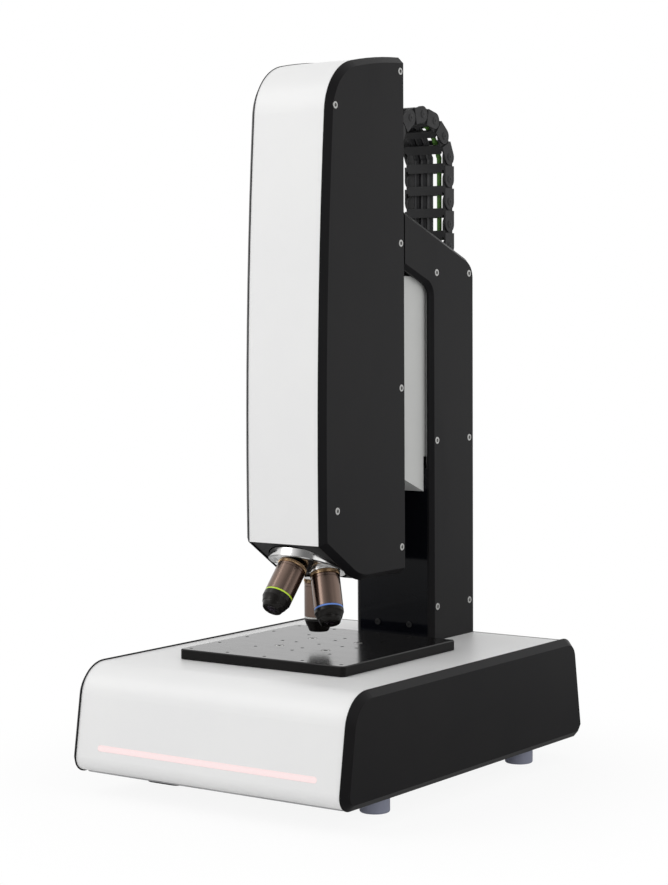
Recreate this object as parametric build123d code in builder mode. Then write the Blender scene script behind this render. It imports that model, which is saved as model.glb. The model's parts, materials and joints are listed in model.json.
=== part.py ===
"""Upright confocal microscope with a motorised specimen stage, a lifting head and a revolving nosepiece.

Frame: X to the right, Y to the rear, Z up. The origin lies on the floor under the middle of the base.
All lengths are in millimetres and all angles in degrees.
"""

import os
from math import asin, cos, hypot, radians, sin, tan

from build123d import *

os.makedirs("parts", exist_ok=True)

# Base housing
base_width = 290.0
base_depth = 386.5
foot_height = 20.0
base_height = 93.6
base_lean_front = 8.8
base_lean_rear = 9.1
base_cheek_thickness = 6.5
base_cheek_bevel = 5.8
base_nose_radius = 31.0
base_toe_radius = 13.0
base_tail_radius = 18.0
base_heel_chamfer = 10.0
cover_inset = 1.2
cover_thickness = 2.0
cover_lip_depth = 11.5
cover_rear_y = 162.5
seam_gap = 0.2
base_plate_thickness = 12.0
base_plate_margin = 12.0
base_plate_corner = 8.0
pocket_count = 3
pocket_pitch = 62.0
pocket_width = 48.0
pocket_length = 190.0
rail_riser_height = 8.0
rail_riser_margin = 4.0
cut_margin = 1.0
foot_radius = 12.75
foot_spacing_x = 214.0
foot_spacing_y = 236.0
foot_centre_y = 21.0
corner_foot_radius = 18.0
foot_edge_radius = 1.5

# Light strip on the front of the base
strip_length = 230.0
strip_height = 5.0
strip_depth = 4.0
strip_centre_z = 44.0
strip_flange = 4.0

# Specimen stage
optical_axis_y = -26.0
stage_plate_side = 175.0
stage_plate_thickness = 8.7
stage_plate_gap = 0.5
stage_plate_corner = 4.0
stage_plate_bevel = 0.8
stage_travel = 25.0
stage_running_gap = 1.0
stage_hole_pitch = 40.0
stage_hole_count = 5
stage_hole_radius = 1.65
stage_inner_pitch = 25.0
stage_screw_radius = 2.1
stage_screw_head_radius = 4.0
stage_screw_head_depth = 4.2
pedestal_side = 60.0
pedestal_wall = 11.0
pedestal_corner = 8.0
pedestal_bore_corner = 4.0
opening_corner = 6.0

# Linear guides of the stage and of the head
rail_width = 12.0
rail_height = 9.0
rail_waist = 1.5
rail_waist_shares = (0.35, 0.5, 0.7, 0.85)
rail_gap = 0.3
block_width = 27.0
block_length = 34.0
block_height = 12.0
block_rise = 3.0
y_rail_spacing = 110.0
y_rail_length = 184.0
x_rail_spacing = 80.0
x_rail_length = 150.0
block_spacing = 66.0
y_carriage_thickness = 10.0
y_carriage_width = 150.0
y_carriage_length = 120.0
x_carriage_thickness = 8.0
x_carriage_width = 100.0
x_carriage_length = 110.0
carriage_corner = 6.0
lightening_pitch = 50.0
lightening_radius = 12.0

# Lead screws and their motors
screw_radius = 4.0
screw_fit = 0.05
screw_end_bevel = 1.0
motor_shaft_radius = 2.5
motor_shaft_entry = 8.0
motor_bore_margin = 2.0
motor_side = 28.0
motor_length = 32.0
motor_corner = 3.0
motor_waist_share = 0.5
motor_waist_depth = 1.0
motor_mount_thickness = 4.0
screw_nut_side = 24.0
screw_nut_length = 30.0
y_nut_drop = 8.0
x_nut_drop = 5.5
y_screw_reach = 96.0
x_screw_left = -86.0
x_screw_right = 82.0
screw_stand_thickness = 6.0
screw_stand_rise = 7.0
x_motor_stand_width = 30.0

# Column
column_front_y = 93.0
column_rear_y = 167.4
side_inner_x = 37.2
side_plate_thickness = 5.8
side_bevel = 3.8
side_rear_bevel = 1.2
column_foot_z = 98.0
arm_front_y = 49.0
arm_under_z = 436.2
arm_slope = 21.0
arm_corner_radius = 13.0
column_crest_z = 502.6
column_crest_y = 53.35
column_tail_radius = 20.0
front_panel_thickness = 3.0
front_panel_top_z = 271.0
rear_panel_thickness = 1.5
core_front_y = 112.5
core_rear_y = 142.5
core_wall = 6.0
flange_inner_x = 34.6
core_top_inset = 7.5
top_cover_thickness = 2.0
top_cover_front_y = 101.5
top_cover_rear_y = 146.5
core_foot_margin_x = 18.0
core_foot_margin_y = 8.0
core_foot_thickness = 8.0
vent_count = 7
vent_pitch = 9.0
vent_margin = 15.0
vent_height = 3.0

# Lift drive in the column
lift_screw_y = 106.0
lift_rail_spacing = 40.0
lift_rail_height = 8.0
lift_rail_flank = 3.0
lift_waist_near = 4.0
lift_waist_far = 6.0
lift_rail_low_z = 250.0
lift_rail_high_z = 463.0
lift_block_depth = 10.5
lift_block_width = 25.0
lift_block_low_z = 287.0
lift_block_high_z = 395.0
lift_nut_low_z = 325.0
lift_nut_width = 14.0
lift_nut_length = 38.0
lift_nut_gap = 0.6
lift_screw_high_z = 465.0
lift_support_height = 9.0
lift_support_low_z = 232.0
lift_support_high_z = 456.5
lift_motor_low_z = 50.0
lift_motor_height = 48.0
lift_motor_gap = 1.0
lift_support_reach = 5.4
coupling_radius = 5.8
coupling_height = 22.0
coupling_gap = 2.0

# Lift bracket between the slide and the head
bracket_half_width = 33.6
bracket_wall = 6.0
bracket_rear_y = 100.0
bracket_under_front_z = 268.3
bracket_under_rear_z = 247.0
bracket_top_z = 446.0
bracket_web = 6.0
bracket_step_y = 92.6
bracket_step_z = 282.0
bracket_slot_depth = 12.0

# Head
head_front_y = -77.9
head_rear_y = 47.2
head_toe_z = 215.0
head_floor_z = 179.7
head_bow = (-76.85, 383.0)
head_brow = (-63.1, 621.0)
head_brow_radius = 50.0
head_crown = (5.0, 635.2)
head_chin_y = -24.6
head_chin_radius = 46.0
head_bevel = 5.3
head_cover_inset = 0.6
head_sheet = 2.0
underplate_inset = 1.0
head_panel_y = 45.2
head_crown_z = 638.9
spine_top_z = 634.0
spine_front_y = 36.0
shelf_reach_y = -64.0
top_shelf_reach_y = -61.0
low_shelf_z = 240.0
mid_shelf_z = 396.0
camera_shelf_z = 516.0
top_shelf_z = 585.0
shelf_thickness = 8.0
mid_shelf_reach_y = -46.0
camera_shelf_reach_y = -48.0
shelf_slot_offset = 22.0
shelf_slot_margin = 15.0
shelf_slot_depth = 10.0
shelf_bore_gap = 2.0
underplate_rear_rise = 10.0

# Revolving nosepiece
apex_z = 237.0
turret_tilt = 21.0
turret_radius = 34.8
turret_rim_top = 39.3
turret_rim_bottom = 47.7
turret_top_bevel = 1.0
turret_low_bevel = 0.8
turret_lip = 5.0
turret_crown = 1.0
turret_cut_start = 20.0
turret_cut_depth = 60.0
turret_dome_radius = 12.0
turret_dome_depth = 7.0
turret_clearance = 0.8
turret_gap = 0.3
turret_pivot_radius = 6.0
turret_pivot_fit = 0.05
turret_pivot_root = 2.0
port_count = 4
port_boss_radius = 13.2
port_boss_length = 6.0
port_face = 56.5
port_bore_radius = 10.16
port_bore_margin = 1.0
port_path_radius = 8.0
port_path_depth = 30.0
thread_radius = 10.1
thread_length = 4.5
holder_radius = 30.0
holder_centre_y = -38.0
holder_depth = 60.0
light_path_radius = 9.0

# Objectives, measured along their own axis from the point where all the axes meet
grip_radius = 13.2
grip_length = 3.5
barrel_radius = 12.75
barrel_step = 0.5
barrel_end = 94.0
tip_radius = 8.5
tip_end = 103.5
front_lens_radius = 5.0
front_lens_recess = 1.0

# Optics inside the head
tube_radius = 20.0
tube_wall = 4.0
tube_flange_radius = 26.0
tube_flange_height = 6.0
tube_lens_z = 320.0
tube_lens_thickness = 7.0
tube_lens_edge = 3.0
lens_sag_share = 0.75
splitter_side = 32.0
splitter_bevel = 2.0
lamp_radius = 12.0
lamp_path_radius = 5.0
lamp_length = 26.0
lamp_collar = 6.0
lamp_core_radius = 7.0
lamp_fin_start = 8.0
lamp_fin_count = 5
lamp_fin_width = 2.0
disc_radius = 33.5
disc_thickness = 1.5
disc_centre_y = 1.0
disc_z = 440.0
disc_hub_radius = 8.0
disc_hub_height = 4.0
disc_cap_bevel = 1.0
disc_cap_height = 1.5
disc_shaft_radius = 1.5
disc_shaft_length = 12.0
disc_shaft_gap = 1.0
disc_motor_radius = 10.5
disc_motor_bevel = 1.0
disc_motor_height = 31.0
camera_lens_radius = 14.0
camera_lens_low_z = 446.0
camera_body_low_z = 470.0
camera_side = 44.0
camera_corner = 3.0
camera_lens_wall = 4.0
camera_lens_depth = 8.0

# Cable chain
chain_width = 45.4
link_pitch = 20.8
link_height = 15.0
link_plate = 3.5
link_lap_gap = 0.3
link_swing_gap = 0.9
link_bar_width = 8.5
link_bar_thickness = 2.2
link_pin_radius = 2.5
chain_turns = 7
chain_rear_y = 156.25
chain_pivot_z = 558.2
column_link_count = 8
head_link_count = 4
anchor_lug = 3.2
anchor_boss_radius = 4.5
anchor_radius = 6.0

# Cables held by the chain: place across the chain and radius
cable_places = [(-12.0, 3.5), (-4.5, 3.5), (3.0, 2.5), (12.8, 2.25)]
cable_end_gap = 1.2
cable_rest_gap = 0.1
cable_bend_radius = 14.0
cable_floor_z = 62.0
cable_floor_step = 7.5
head_cable_z = 405.0
head_socket_y = 38.0
cable_slot_height = 14.0

# Screws in the side plates
screw_head_radius = 3.4
screw_head_height = 2.2
screw_shank_radius = 2.0
screw_socket_radius = 1.5
screw_socket_share = 0.6
screw_length = 9.0
screw_seat_gap = 0.1
column_screw_front_y = 101.85
column_screw_rear_y = 157.55
column_screw_low_z = 143.5
column_screw_pitch = 153.0
column_screw_rows = 3
head_screw_rear_y = 42.85
head_screw_rear_z = (204.0, 346.2, 474.8, 626.1)
head_screw_front = ((-57.05, 243.9), (-57.05, 589.2))
panel_screw_x = 17.5
panel_screw_z = 126.0
panel_screw_length = 4.0
panel_screw_radius = 2.8
panel_socket_radius = 1.2

# Rear connector and control board
inlet_width = 28.0
inlet_height = 22.0
inlet_depth = 20.0
inlet_flange = 4.0
inlet_flange_thickness = 2.0
inlet_corner = 3.0
inlet_side_wall = 1.5
inlet_low_wall = 2.0
inlet_floor = 2.0
blade_pitch = 7.0
blade_drop = 2.0
blade_width = 2.0
blade_height = 5.0
blade_recess = 4.0
inlet_x = 90.0
inlet_z = 62.0
board_width = 70.0
board_depth = 90.0
board_thickness = 1.6
board_standoff = 6.0
board_centre_x = 92.0
board_centre_y = 117.0
board_socket_top_z = 92.0
board_socket_width = 10.0
board_socket_depth = 11.0
board_post_inset = 4.0
board_post_radius = 2.5
module_offset_x = 4.0
module_pitch_x = 26.0
module_pitch_y = 30.0
module_side = 14.0
module_height = 4.0

# Derived heights and planes
base_top_z = foot_height + base_height
cover_top_z = base_top_z - cover_inset
plate_top_z = foot_height + base_plate_thickness
base_inner_x = base_width / 2 - base_cheek_thickness
column_outer_x = side_inner_x + side_plate_thickness
spine_width = 2 * side_inner_x
lift_motor_top_z = lift_motor_low_z + lift_motor_height
chain_loop_span = link_pitch / tan(radians(180 / chain_turns / 2))
chain_front_y = chain_rear_y - chain_loop_span
apex = Vector(0, optical_axis_y, apex_z)
turret_axis = Vector(0, -sin(radians(turret_tilt)), -cos(radians(turret_tilt)))


def save(piece, name):
    """Label a finished piece and write it to its own file."""
    piece.part.label = name
    export_step(piece.part, f"parts/{name}.step")


def axial_plane(origin, direction):
    """Plane through an axis: local x runs outward from it and local y runs along it."""
    along = Vector(direction).normalized()
    guide = Vector(1, 0, 0)
    if abs(along.X) > cos(radians(45)):
        guide = Vector(0, 1, 0)
    outward = (guide - along * guide.dot(along)).normalized()
    return Plane(origin=origin, x_dir=outward, z_dir=outward.cross(along))


def turned(origin, direction, outline):
    """Turned piece whose outline holds (radius, distance along the axis) corners."""
    with BuildPart() as piece:
        with BuildSketch(axial_plane(origin, direction)):
            with BuildLine():
                Polyline(*outline, close=True)
            make_face()
        revolve(axis=Axis(origin, direction))
    return piece


def at(distance, origin, direction):
    """Point that lies a distance along an axis."""
    return Vector(origin) + Vector(direction).normalized() * distance


def front_line_y(z):
    """Place of the leaning front line of the base outline at a height."""
    centre_y = -base_depth / 2 + base_toe_radius
    centre_z = foot_height + base_toe_radius
    lean = radians(base_lean_front)
    touch_y = centre_y - base_toe_radius * cos(lean)
    touch_z = centre_z + base_toe_radius * sin(lean)
    return touch_y + (z - touch_z) * tan(lean)


def rear_line_y(z):
    """Place of the leaning rear line of the base outline at a height."""
    heel_z = foot_height + base_heel_chamfer
    return base_depth / 2 - (z - heel_z) * tan(radians(base_lean_rear))


def round_corner(outline, corner, radius):
    """Round the corner of an outline that lies nearest to a point."""
    fillet(outline.vertices().sort_by_distance((*corner, 0))[0], radius)


def base_outline(inset):
    """Side outline of the base, drawn inside the cheek outline by the inset."""
    front_shift = inset / cos(radians(base_lean_front))
    rear_shift = inset / cos(radians(base_lean_rear))
    low = foot_height + inset
    high = base_top_z - inset
    toe = (front_line_y(low) + front_shift, low)
    nose = (front_line_y(high) + front_shift, high)
    tail = (rear_line_y(high) - rear_shift, high)
    heel = (rear_line_y(low) - rear_shift, low)
    with BuildSketch() as outline:
        with BuildLine():
            Polyline(toe, nose, tail, heel, close=True)
        make_face()
        round_corner(outline, toe, base_toe_radius - inset)
        round_corner(outline, nose, base_nose_radius - inset)
        round_corner(outline, tail, base_tail_radius - inset)
        chamfer(outline.vertices().sort_by_distance((*heel, 0))[0], base_heel_chamfer)
    return outline.sketch


def head_outline(inset):
    """Side outline of the head, drawn inside the cheek outline by the inset."""
    with BuildSketch() as outline:
        with BuildLine():
            bow = ThreePointArc((head_front_y, head_toe_z), head_bow, head_brow)
            crown = ThreePointArc(bow @ 1, head_crown, (head_rear_y, head_crown_z))
            Polyline(crown @ 1, (head_rear_y, head_floor_z), (head_chin_y, head_floor_z), bow @ 0)
        make_face()
        round_corner(outline, head_brow, head_brow_radius)
        round_corner(outline, (head_chin_y, head_floor_z), head_chin_radius)
        if inset > 0:
            offset(amount=-inset, kind=Kind.INTERSECTION)
    return outline.sketch


def column_crest(y, drop=0.0):
    """Height of the sloping top of the column at a place, lowered by a drop."""
    return column_crest_z - (y - column_crest_y) * tan(radians(arm_slope)) - drop


# Base plate: ribbed casting that carries everything
with BuildPart() as base_plate:
    with BuildSketch(Plane.XY.offset(foot_height)):
        with Locations((0, (front_line_y(foot_height) + rear_line_y(foot_height)) / 2)):
            Rectangle(2 * base_inner_x, base_depth - 2 * base_plate_margin)
    extrude(amount=base_plate_thickness)
    fillet(base_plate.edges().filter_by(Axis.Z), base_plate_corner)
    with BuildSketch(Plane.XY.offset(foot_height)):
        with Locations((0, optical_axis_y)):
            with GridLocations(pocket_pitch, 0, pocket_count, 1):
                Rectangle(pocket_width, pocket_length)
    extrude(amount=base_plate_thickness / 2, mode=Mode.SUBTRACT)
    with BuildSketch(Plane.XY.offset(plate_top_z)):
        with Locations((0, optical_axis_y)):
            with GridLocations(y_rail_spacing, 0, 2, 1):
                Rectangle(rail_width + 2 * rail_riser_margin, y_rail_length)
    extrude(amount=rail_riser_height)
save(base_plate, "base_plate")


def base_cheek(side):
    """Thick black side plate of the base with a broad bevel round its outer face."""
    with BuildPart() as cheek:
        with BuildSketch(Plane.YZ.offset(side * base_inner_x)):
            add(base_outline(0))
        extrude(amount=side * base_cheek_thickness)
        outer = cheek.faces().sort_by(Axis.X)[-1 if side > 0 else 0]
        chamfer(outer.edges(), base_cheek_bevel)
    return cheek


base_cheek_right = base_cheek(1)
save(base_cheek_right, "base_cheek_right")
base_cheek_left = base_cheek(-1)
save(base_cheek_left, "base_cheek_left")

# Rear panel plane and front face plane of the base, each with local x along +X
front_shift = cover_inset / cos(radians(base_lean_front))
cover_front_mid = Vector(0, front_line_y(strip_centre_z) + front_shift, strip_centre_z)
front_normal = Vector(0, -cos(radians(base_lean_front)), sin(radians(base_lean_front)))
front_face = Plane(origin=cover_front_mid, x_dir=(1, 0, 0), z_dir=front_normal)
opening_side = pedestal_side + 2 * (stage_travel + stage_running_gap)
pedestal_bore = pedestal_side - 2 * pedestal_wall

# Base cover: one bent white sheet over the front and the top
with BuildPart() as base_cover:
    with BuildSketch(Plane.YZ.offset(-base_inner_x)) as cover_profile:
        add(base_outline(cover_inset))
        add(base_outline(cover_inset + cover_thickness), mode=Mode.SUBTRACT)
        with BuildLine():
            Polyline(
                (-base_depth / 2 + cover_lip_depth, foot_height - cut_margin),
                (-base_depth / 2 + cover_lip_depth, base_top_z - base_nose_radius),
                (cover_rear_y, base_top_z - base_nose_radius),
                (cover_rear_y, base_top_z + cut_margin),
                (base_depth, base_top_z + cut_margin),
                (base_depth, foot_height - cut_margin),
                close=True,
            )
        make_face(mode=Mode.SUBTRACT)
    extrude(amount=2 * base_inner_x)
    with BuildSketch(Plane.XY.offset(base_top_z)):
        with Locations((0, optical_axis_y)):
            RectangleRounded(opening_side, opening_side, opening_corner)
        with Locations((0, (column_front_y + base_depth) / 2 - seam_gap)):
            Rectangle(2 * (column_outer_x + seam_gap), base_depth - column_front_y)
    extrude(amount=-base_nose_radius, mode=Mode.SUBTRACT)
    with BuildSketch(front_face):
        SlotOverall(strip_length + 2 * seam_gap, strip_height + 2 * seam_gap)
    extrude(amount=-2 * cover_thickness, mode=Mode.SUBTRACT)
save(base_cover, "base_cover")

# Light strip: moulded diffuser that fills the slot in the front
with BuildPart() as light_strip:
    with BuildSketch(front_face):
        SlotOverall(strip_length, strip_height)
    extrude(amount=-strip_depth)
    with BuildSketch(front_face.offset(-cover_thickness)):
        SlotOverall(strip_length + 2 * strip_flange, strip_height + 2 * strip_flange)
    extrude(amount=cover_thickness - strip_depth)
save(light_strip, "light_strip")

# Rear panel of the base with the cut-out of the power inlet
rear_normal = Vector(0, cos(radians(base_lean_rear)), sin(radians(base_lean_rear)))
rear_shift = cover_inset / cos(radians(base_lean_rear))
rear_face_point = Vector(0, rear_line_y(inlet_z) - rear_shift, inlet_z)
rear_face = Plane(origin=rear_face_point, x_dir=(1, 0, 0), z_dir=rear_normal)
with BuildPart() as base_rear_panel:
    with BuildSketch(Plane.YZ.offset(-base_inner_x)):
        add(base_outline(cover_inset))
        add(base_outline(cover_inset + cover_thickness), mode=Mode.SUBTRACT)
        with BuildLine():
            Polyline(
                (-base_depth, foot_height - cut_margin),
                (-base_depth, base_top_z + cut_margin),
                (cover_rear_y + seam_gap, base_top_z + cut_margin),
                (cover_rear_y + seam_gap, plate_top_z + seam_gap),
                (base_depth, plate_top_z + seam_gap),
                (base_depth, foot_height - cut_margin),
                close=True,
            )
        make_face(mode=Mode.SUBTRACT)
    extrude(amount=2 * base_inner_x)
    with BuildSketch(rear_face.offset(cover_thickness)):
        with Locations((inlet_x, 0)):
            Rectangle(inlet_width + seam_gap, inlet_height + seam_gap)
    extrude(amount=-3 * cover_thickness, mode=Mode.SUBTRACT)
    with BuildSketch(Plane.XY.offset(base_top_z)):
        with Locations((0, column_front_y + seam_gap)):
            Rectangle(2 * (column_outer_x + seam_gap), 2 * (column_rear_y - column_front_y))
    extrude(amount=-base_nose_radius, mode=Mode.SUBTRACT)
save(base_rear_panel, "base_rear_panel")

# Power inlet: flanged appliance socket with three blades in its well
with BuildPart() as power_inlet:
    with BuildSketch(rear_face):
        with Locations((inlet_x, 0)):
            RectangleRounded(inlet_width + 2 * inlet_flange, inlet_height + 2 * inlet_flange, inlet_corner)
    extrude(amount=inlet_flange_thickness)
    with BuildSketch(rear_face):
        with Locations((inlet_x, 0)):
            Rectangle(inlet_width, inlet_height)
    extrude(amount=-inlet_depth)
    with BuildSketch(rear_face.offset(inlet_flange_thickness)):
        with Locations((inlet_x, 0)):
            Rectangle(inlet_width - 2 * inlet_side_wall, inlet_height - 2 * inlet_low_wall)
    extrude(amount=-inlet_depth + inlet_floor, mode=Mode.SUBTRACT)
    with BuildSketch(rear_face.offset(-inlet_depth + inlet_floor)):
        with Locations(
            (inlet_x - blade_pitch, -blade_drop),
            (inlet_x, blade_drop),
            (inlet_x + blade_pitch, -blade_drop),
        ):
            Rectangle(blade_width, blade_height)
    extrude(amount=inlet_depth - inlet_floor - blade_recess)
save(power_inlet, "power_inlet")


def round_feet(radius, places):
    """Round damping feet with eased lower edges."""
    with BuildPart() as feet:
        with BuildSketch(Plane.XY):
            with Locations(*places):
                Circle(radius)
        extrude(amount=foot_height)
        fillet(feet.faces().sort_by(Axis.Z)[: len(places)].edges(), foot_edge_radius)
    return feet


foot_x = foot_spacing_x / 2
foot_front_y = foot_centre_y - foot_spacing_y / 2
foot_rear_y = foot_centre_y + foot_spacing_y / 2
damping_foot_places = [(foot_x, foot_front_y), (foot_x, foot_rear_y), (-foot_x, foot_rear_y)]
damping_feet = round_feet(foot_radius, damping_foot_places)
save(damping_feet, "damping_feet")
levelling_foot = round_feet(corner_foot_radius, [(-foot_x, foot_front_y)])
save(levelling_foot, "levelling_foot")

# Heights of the stage stack
y_rail_z = plate_top_z + rail_riser_height
y_block_z = y_rail_z + block_rise
y_carriage_z = y_block_z + block_height
x_rail_z = y_carriage_z + y_carriage_thickness
x_block_z = x_rail_z + block_rise
x_carriage_z = x_block_z + block_height
pedestal_z = x_carriage_z + x_carriage_thickness
stage_plate_z = cover_top_z + stage_plate_gap
y_screw_z = plate_top_z + motor_side / 2 + seam_gap
x_screw_z = (x_rail_z + x_carriage_z) / 2
y_screw_front = optical_axis_y - y_screw_reach
y_screw_rear = optical_axis_y + y_screw_reach


def rail_pair(low_z, spacing, length, along_x):
    """Two profiled guide rails with a waist along each flank."""
    half = rail_width / 2
    waist = half - rail_waist
    rises = [rail_height * share for share in rail_waist_shares]
    with BuildPart() as rails:
        if along_x:
            profile_plane = Plane.YZ.offset(-length / 2)
            centres = [optical_axis_y - spacing / 2, optical_axis_y + spacing / 2]
        else:
            profile_plane = Plane.XZ.offset(-optical_axis_y - length / 2)
            centres = [-spacing / 2, spacing / 2]
        with BuildSketch(profile_plane):
            for centre in centres:
                right = [
                    (centre + half, low_z + rises[3]),
                    (centre + waist, low_z + rises[2]),
                    (centre + waist, low_z + rises[1]),
                    (centre + half, low_z + rises[0]),
                ]
                left = [(2 * centre - across, height) for across, height in reversed(right)]
                with BuildLine():
                    Polyline(
                        (centre - half, low_z),
                        *left,
                        (centre - half, low_z + rail_height),
                        (centre + half, low_z + rail_height),
                        *right,
                        (centre + half, low_z),
                        close=True,
                    )
                make_face()
        extrude(amount=length)
    return rails


def guide_blocks(low_z, spacing_x, spacing_y, along_x):
    """Four bearing blocks that straddle a pair of rails."""
    size_x = block_length if along_x else block_width
    size_y = block_width if along_x else block_length
    groove = rail_width + 2 * rail_gap
    with BuildPart() as blocks:
        with BuildSketch(Plane.XY.offset(low_z)):
            with Locations((0, optical_axis_y)):
                with GridLocations(spacing_x, spacing_y, 2, 2):
                    Rectangle(size_x, size_y)
        extrude(amount=block_height)
        with BuildSketch(Plane.XY.offset(low_z)):
            with Locations((0, optical_axis_y)):
                with GridLocations(spacing_x, spacing_y, 2, 2):
                    if along_x:
                        Rectangle(size_x, groove)
                    else:
                        Rectangle(groove, size_y)
        extrude(amount=rail_height - block_rise + rail_gap, mode=Mode.SUBTRACT)
    return blocks


y_rails = rail_pair(y_rail_z, y_rail_spacing, y_rail_length, along_x=False)
save(y_rails, "y_rails")
y_bearing_blocks = guide_blocks(y_block_z, y_rail_spacing, block_spacing, along_x=False)
save(y_bearing_blocks, "y_bearing_blocks")
x_rails = rail_pair(x_rail_z, x_rail_spacing, x_rail_length, along_x=True)
save(x_rails, "x_rails")
x_bearing_blocks = guide_blocks(x_block_z, block_spacing, x_rail_spacing, along_x=True)
save(x_bearing_blocks, "x_bearing_blocks")


# Bearing stands of the stage screw that runs front to rear, the front one holding the motor
y_motor_face = y_screw_front - motor_mount_thickness
with BuildPart() as y_screw_stands:
    for stand_front, stand_rear in (
        (y_motor_face, y_screw_front + screw_stand_thickness),
        (y_screw_rear - screw_stand_thickness, y_screw_rear),
    ):
        with BuildSketch(Plane.XZ.offset(-stand_rear)):
            with Locations((0, (plate_top_z + y_screw_z + screw_stand_rise) / 2)):
                Rectangle(screw_nut_side, y_screw_z + screw_stand_rise - plate_top_z)
            with Locations((0, y_screw_z)):
                Circle(screw_radius + screw_fit, mode=Mode.SUBTRACT)
        extrude(amount=stand_rear - stand_front)
save(y_screw_stands, "y_screw_stands")


def lead_screw(start, direction, length):
    """Lead screw with a thin smooth end that enters the motor."""
    journal = motor_mount_thickness + motor_shaft_entry
    outline = [
        (0, 0),
        (motor_shaft_radius, 0),
        (motor_shaft_radius, journal),
        (screw_radius, journal),
        (screw_radius, length - screw_end_bevel),
        (screw_radius - screw_end_bevel, length),
        (0, length),
    ]
    return turned(start, direction, outline)


y_screw_start = y_motor_face - motor_shaft_entry
y_screw = lead_screw((0, y_screw_start, y_screw_z), (0, 1, 0), y_screw_rear - y_screw_start)
save(y_screw, "y_screw")
x_motor_face = x_screw_right + motor_mount_thickness
x_screw_start = x_motor_face + motor_shaft_entry
x_screw_place = (x_screw_start, optical_axis_y, x_screw_z)
x_screw = lead_screw(x_screw_place, (-1, 0, 0), x_screw_start - x_screw_left)
save(x_screw, "x_screw")


def stepper_motor(plane, length):
    """Square stepper motor, its face on the plane and its body behind it, bored for the shaft."""
    waist_side = motor_side - 2 * motor_waist_depth
    with BuildPart() as motor:
        with BuildSketch(plane):
            RectangleRounded(motor_side, motor_side, motor_corner)
        extrude(amount=length)
        with BuildSketch(plane.offset(length * (1 - motor_waist_share) / 2)):
            RectangleRounded(motor_side + cut_margin, motor_side + cut_margin, motor_corner)
            RectangleRounded(waist_side, waist_side, motor_corner, mode=Mode.SUBTRACT)
        extrude(amount=length * motor_waist_share, mode=Mode.SUBTRACT)
        with BuildSketch(plane):
            Circle(motor_shaft_radius + screw_fit)
        extrude(amount=motor_shaft_entry + motor_bore_margin, mode=Mode.SUBTRACT)
    return motor


y_motor_plane = Plane(origin=(0, y_motor_face, y_screw_z), x_dir=(1, 0, 0), z_dir=(0, -1, 0))
y_motor = stepper_motor(y_motor_plane, motor_length)
save(y_motor, "y_motor")
x_motor_plane = Plane(origin=(x_motor_face, optical_axis_y, x_screw_z), x_dir=(0, 1, 0), z_dir=(1, 0, 0))
x_motor = stepper_motor(x_motor_plane, motor_length)
save(x_motor, "x_motor")

# Front-to-rear carriage with its nut below and the stands of the cross screw above
with BuildPart() as y_carriage:
    with BuildSketch(Plane.XY.offset(y_carriage_z)):
        with Locations((0, optical_axis_y)):
            RectangleRounded(y_carriage_width, y_carriage_length, carriage_corner)
            with GridLocations(lightening_pitch, 0, 2, 1):
                Circle(lightening_radius, mode=Mode.SUBTRACT)
    extrude(amount=y_carriage_thickness)
    with BuildSketch(Plane.XZ.offset(-optical_axis_y - screw_nut_length / 2)):
        with Locations((0, (y_screw_z - y_nut_drop + y_carriage_z) / 2)):
            Rectangle(screw_nut_side, y_carriage_z - y_screw_z + y_nut_drop)
    extrude(amount=screw_nut_length)
    with BuildSketch(Plane.XZ.offset(-optical_axis_y - screw_nut_length)):
        with Locations((0, y_screw_z)):
            Circle(screw_radius + screw_fit)
    extrude(amount=2 * screw_nut_length, mode=Mode.SUBTRACT)
    stand_mid_z = (x_rail_z + x_screw_z + screw_stand_rise) / 2
    stand_height = x_screw_z + screw_stand_rise - x_rail_z
    with BuildSketch(Plane.YZ.offset(x_screw_left)):
        with Locations((optical_axis_y, stand_mid_z - y_carriage_thickness / 2)):
            Rectangle(screw_nut_side, stand_height + y_carriage_thickness)
    extrude(amount=-x_screw_left - y_carriage_width / 2)
    with BuildSketch(Plane.YZ.offset(y_carriage_width / 2)):
        with Locations((optical_axis_y, stand_mid_z - y_carriage_thickness / 2)):
            Rectangle(x_motor_stand_width, stand_height + y_carriage_thickness)
    extrude(amount=x_motor_face - y_carriage_width / 2)
    with BuildSketch(Plane.YZ.offset(x_screw_left - cut_margin)):
        with Locations((optical_axis_y, x_screw_z)):
            Circle(screw_radius + screw_fit)
    extrude(amount=x_motor_face - x_screw_left + 2 * cut_margin, mode=Mode.SUBTRACT)
save(y_carriage, "y_carriage")

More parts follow.
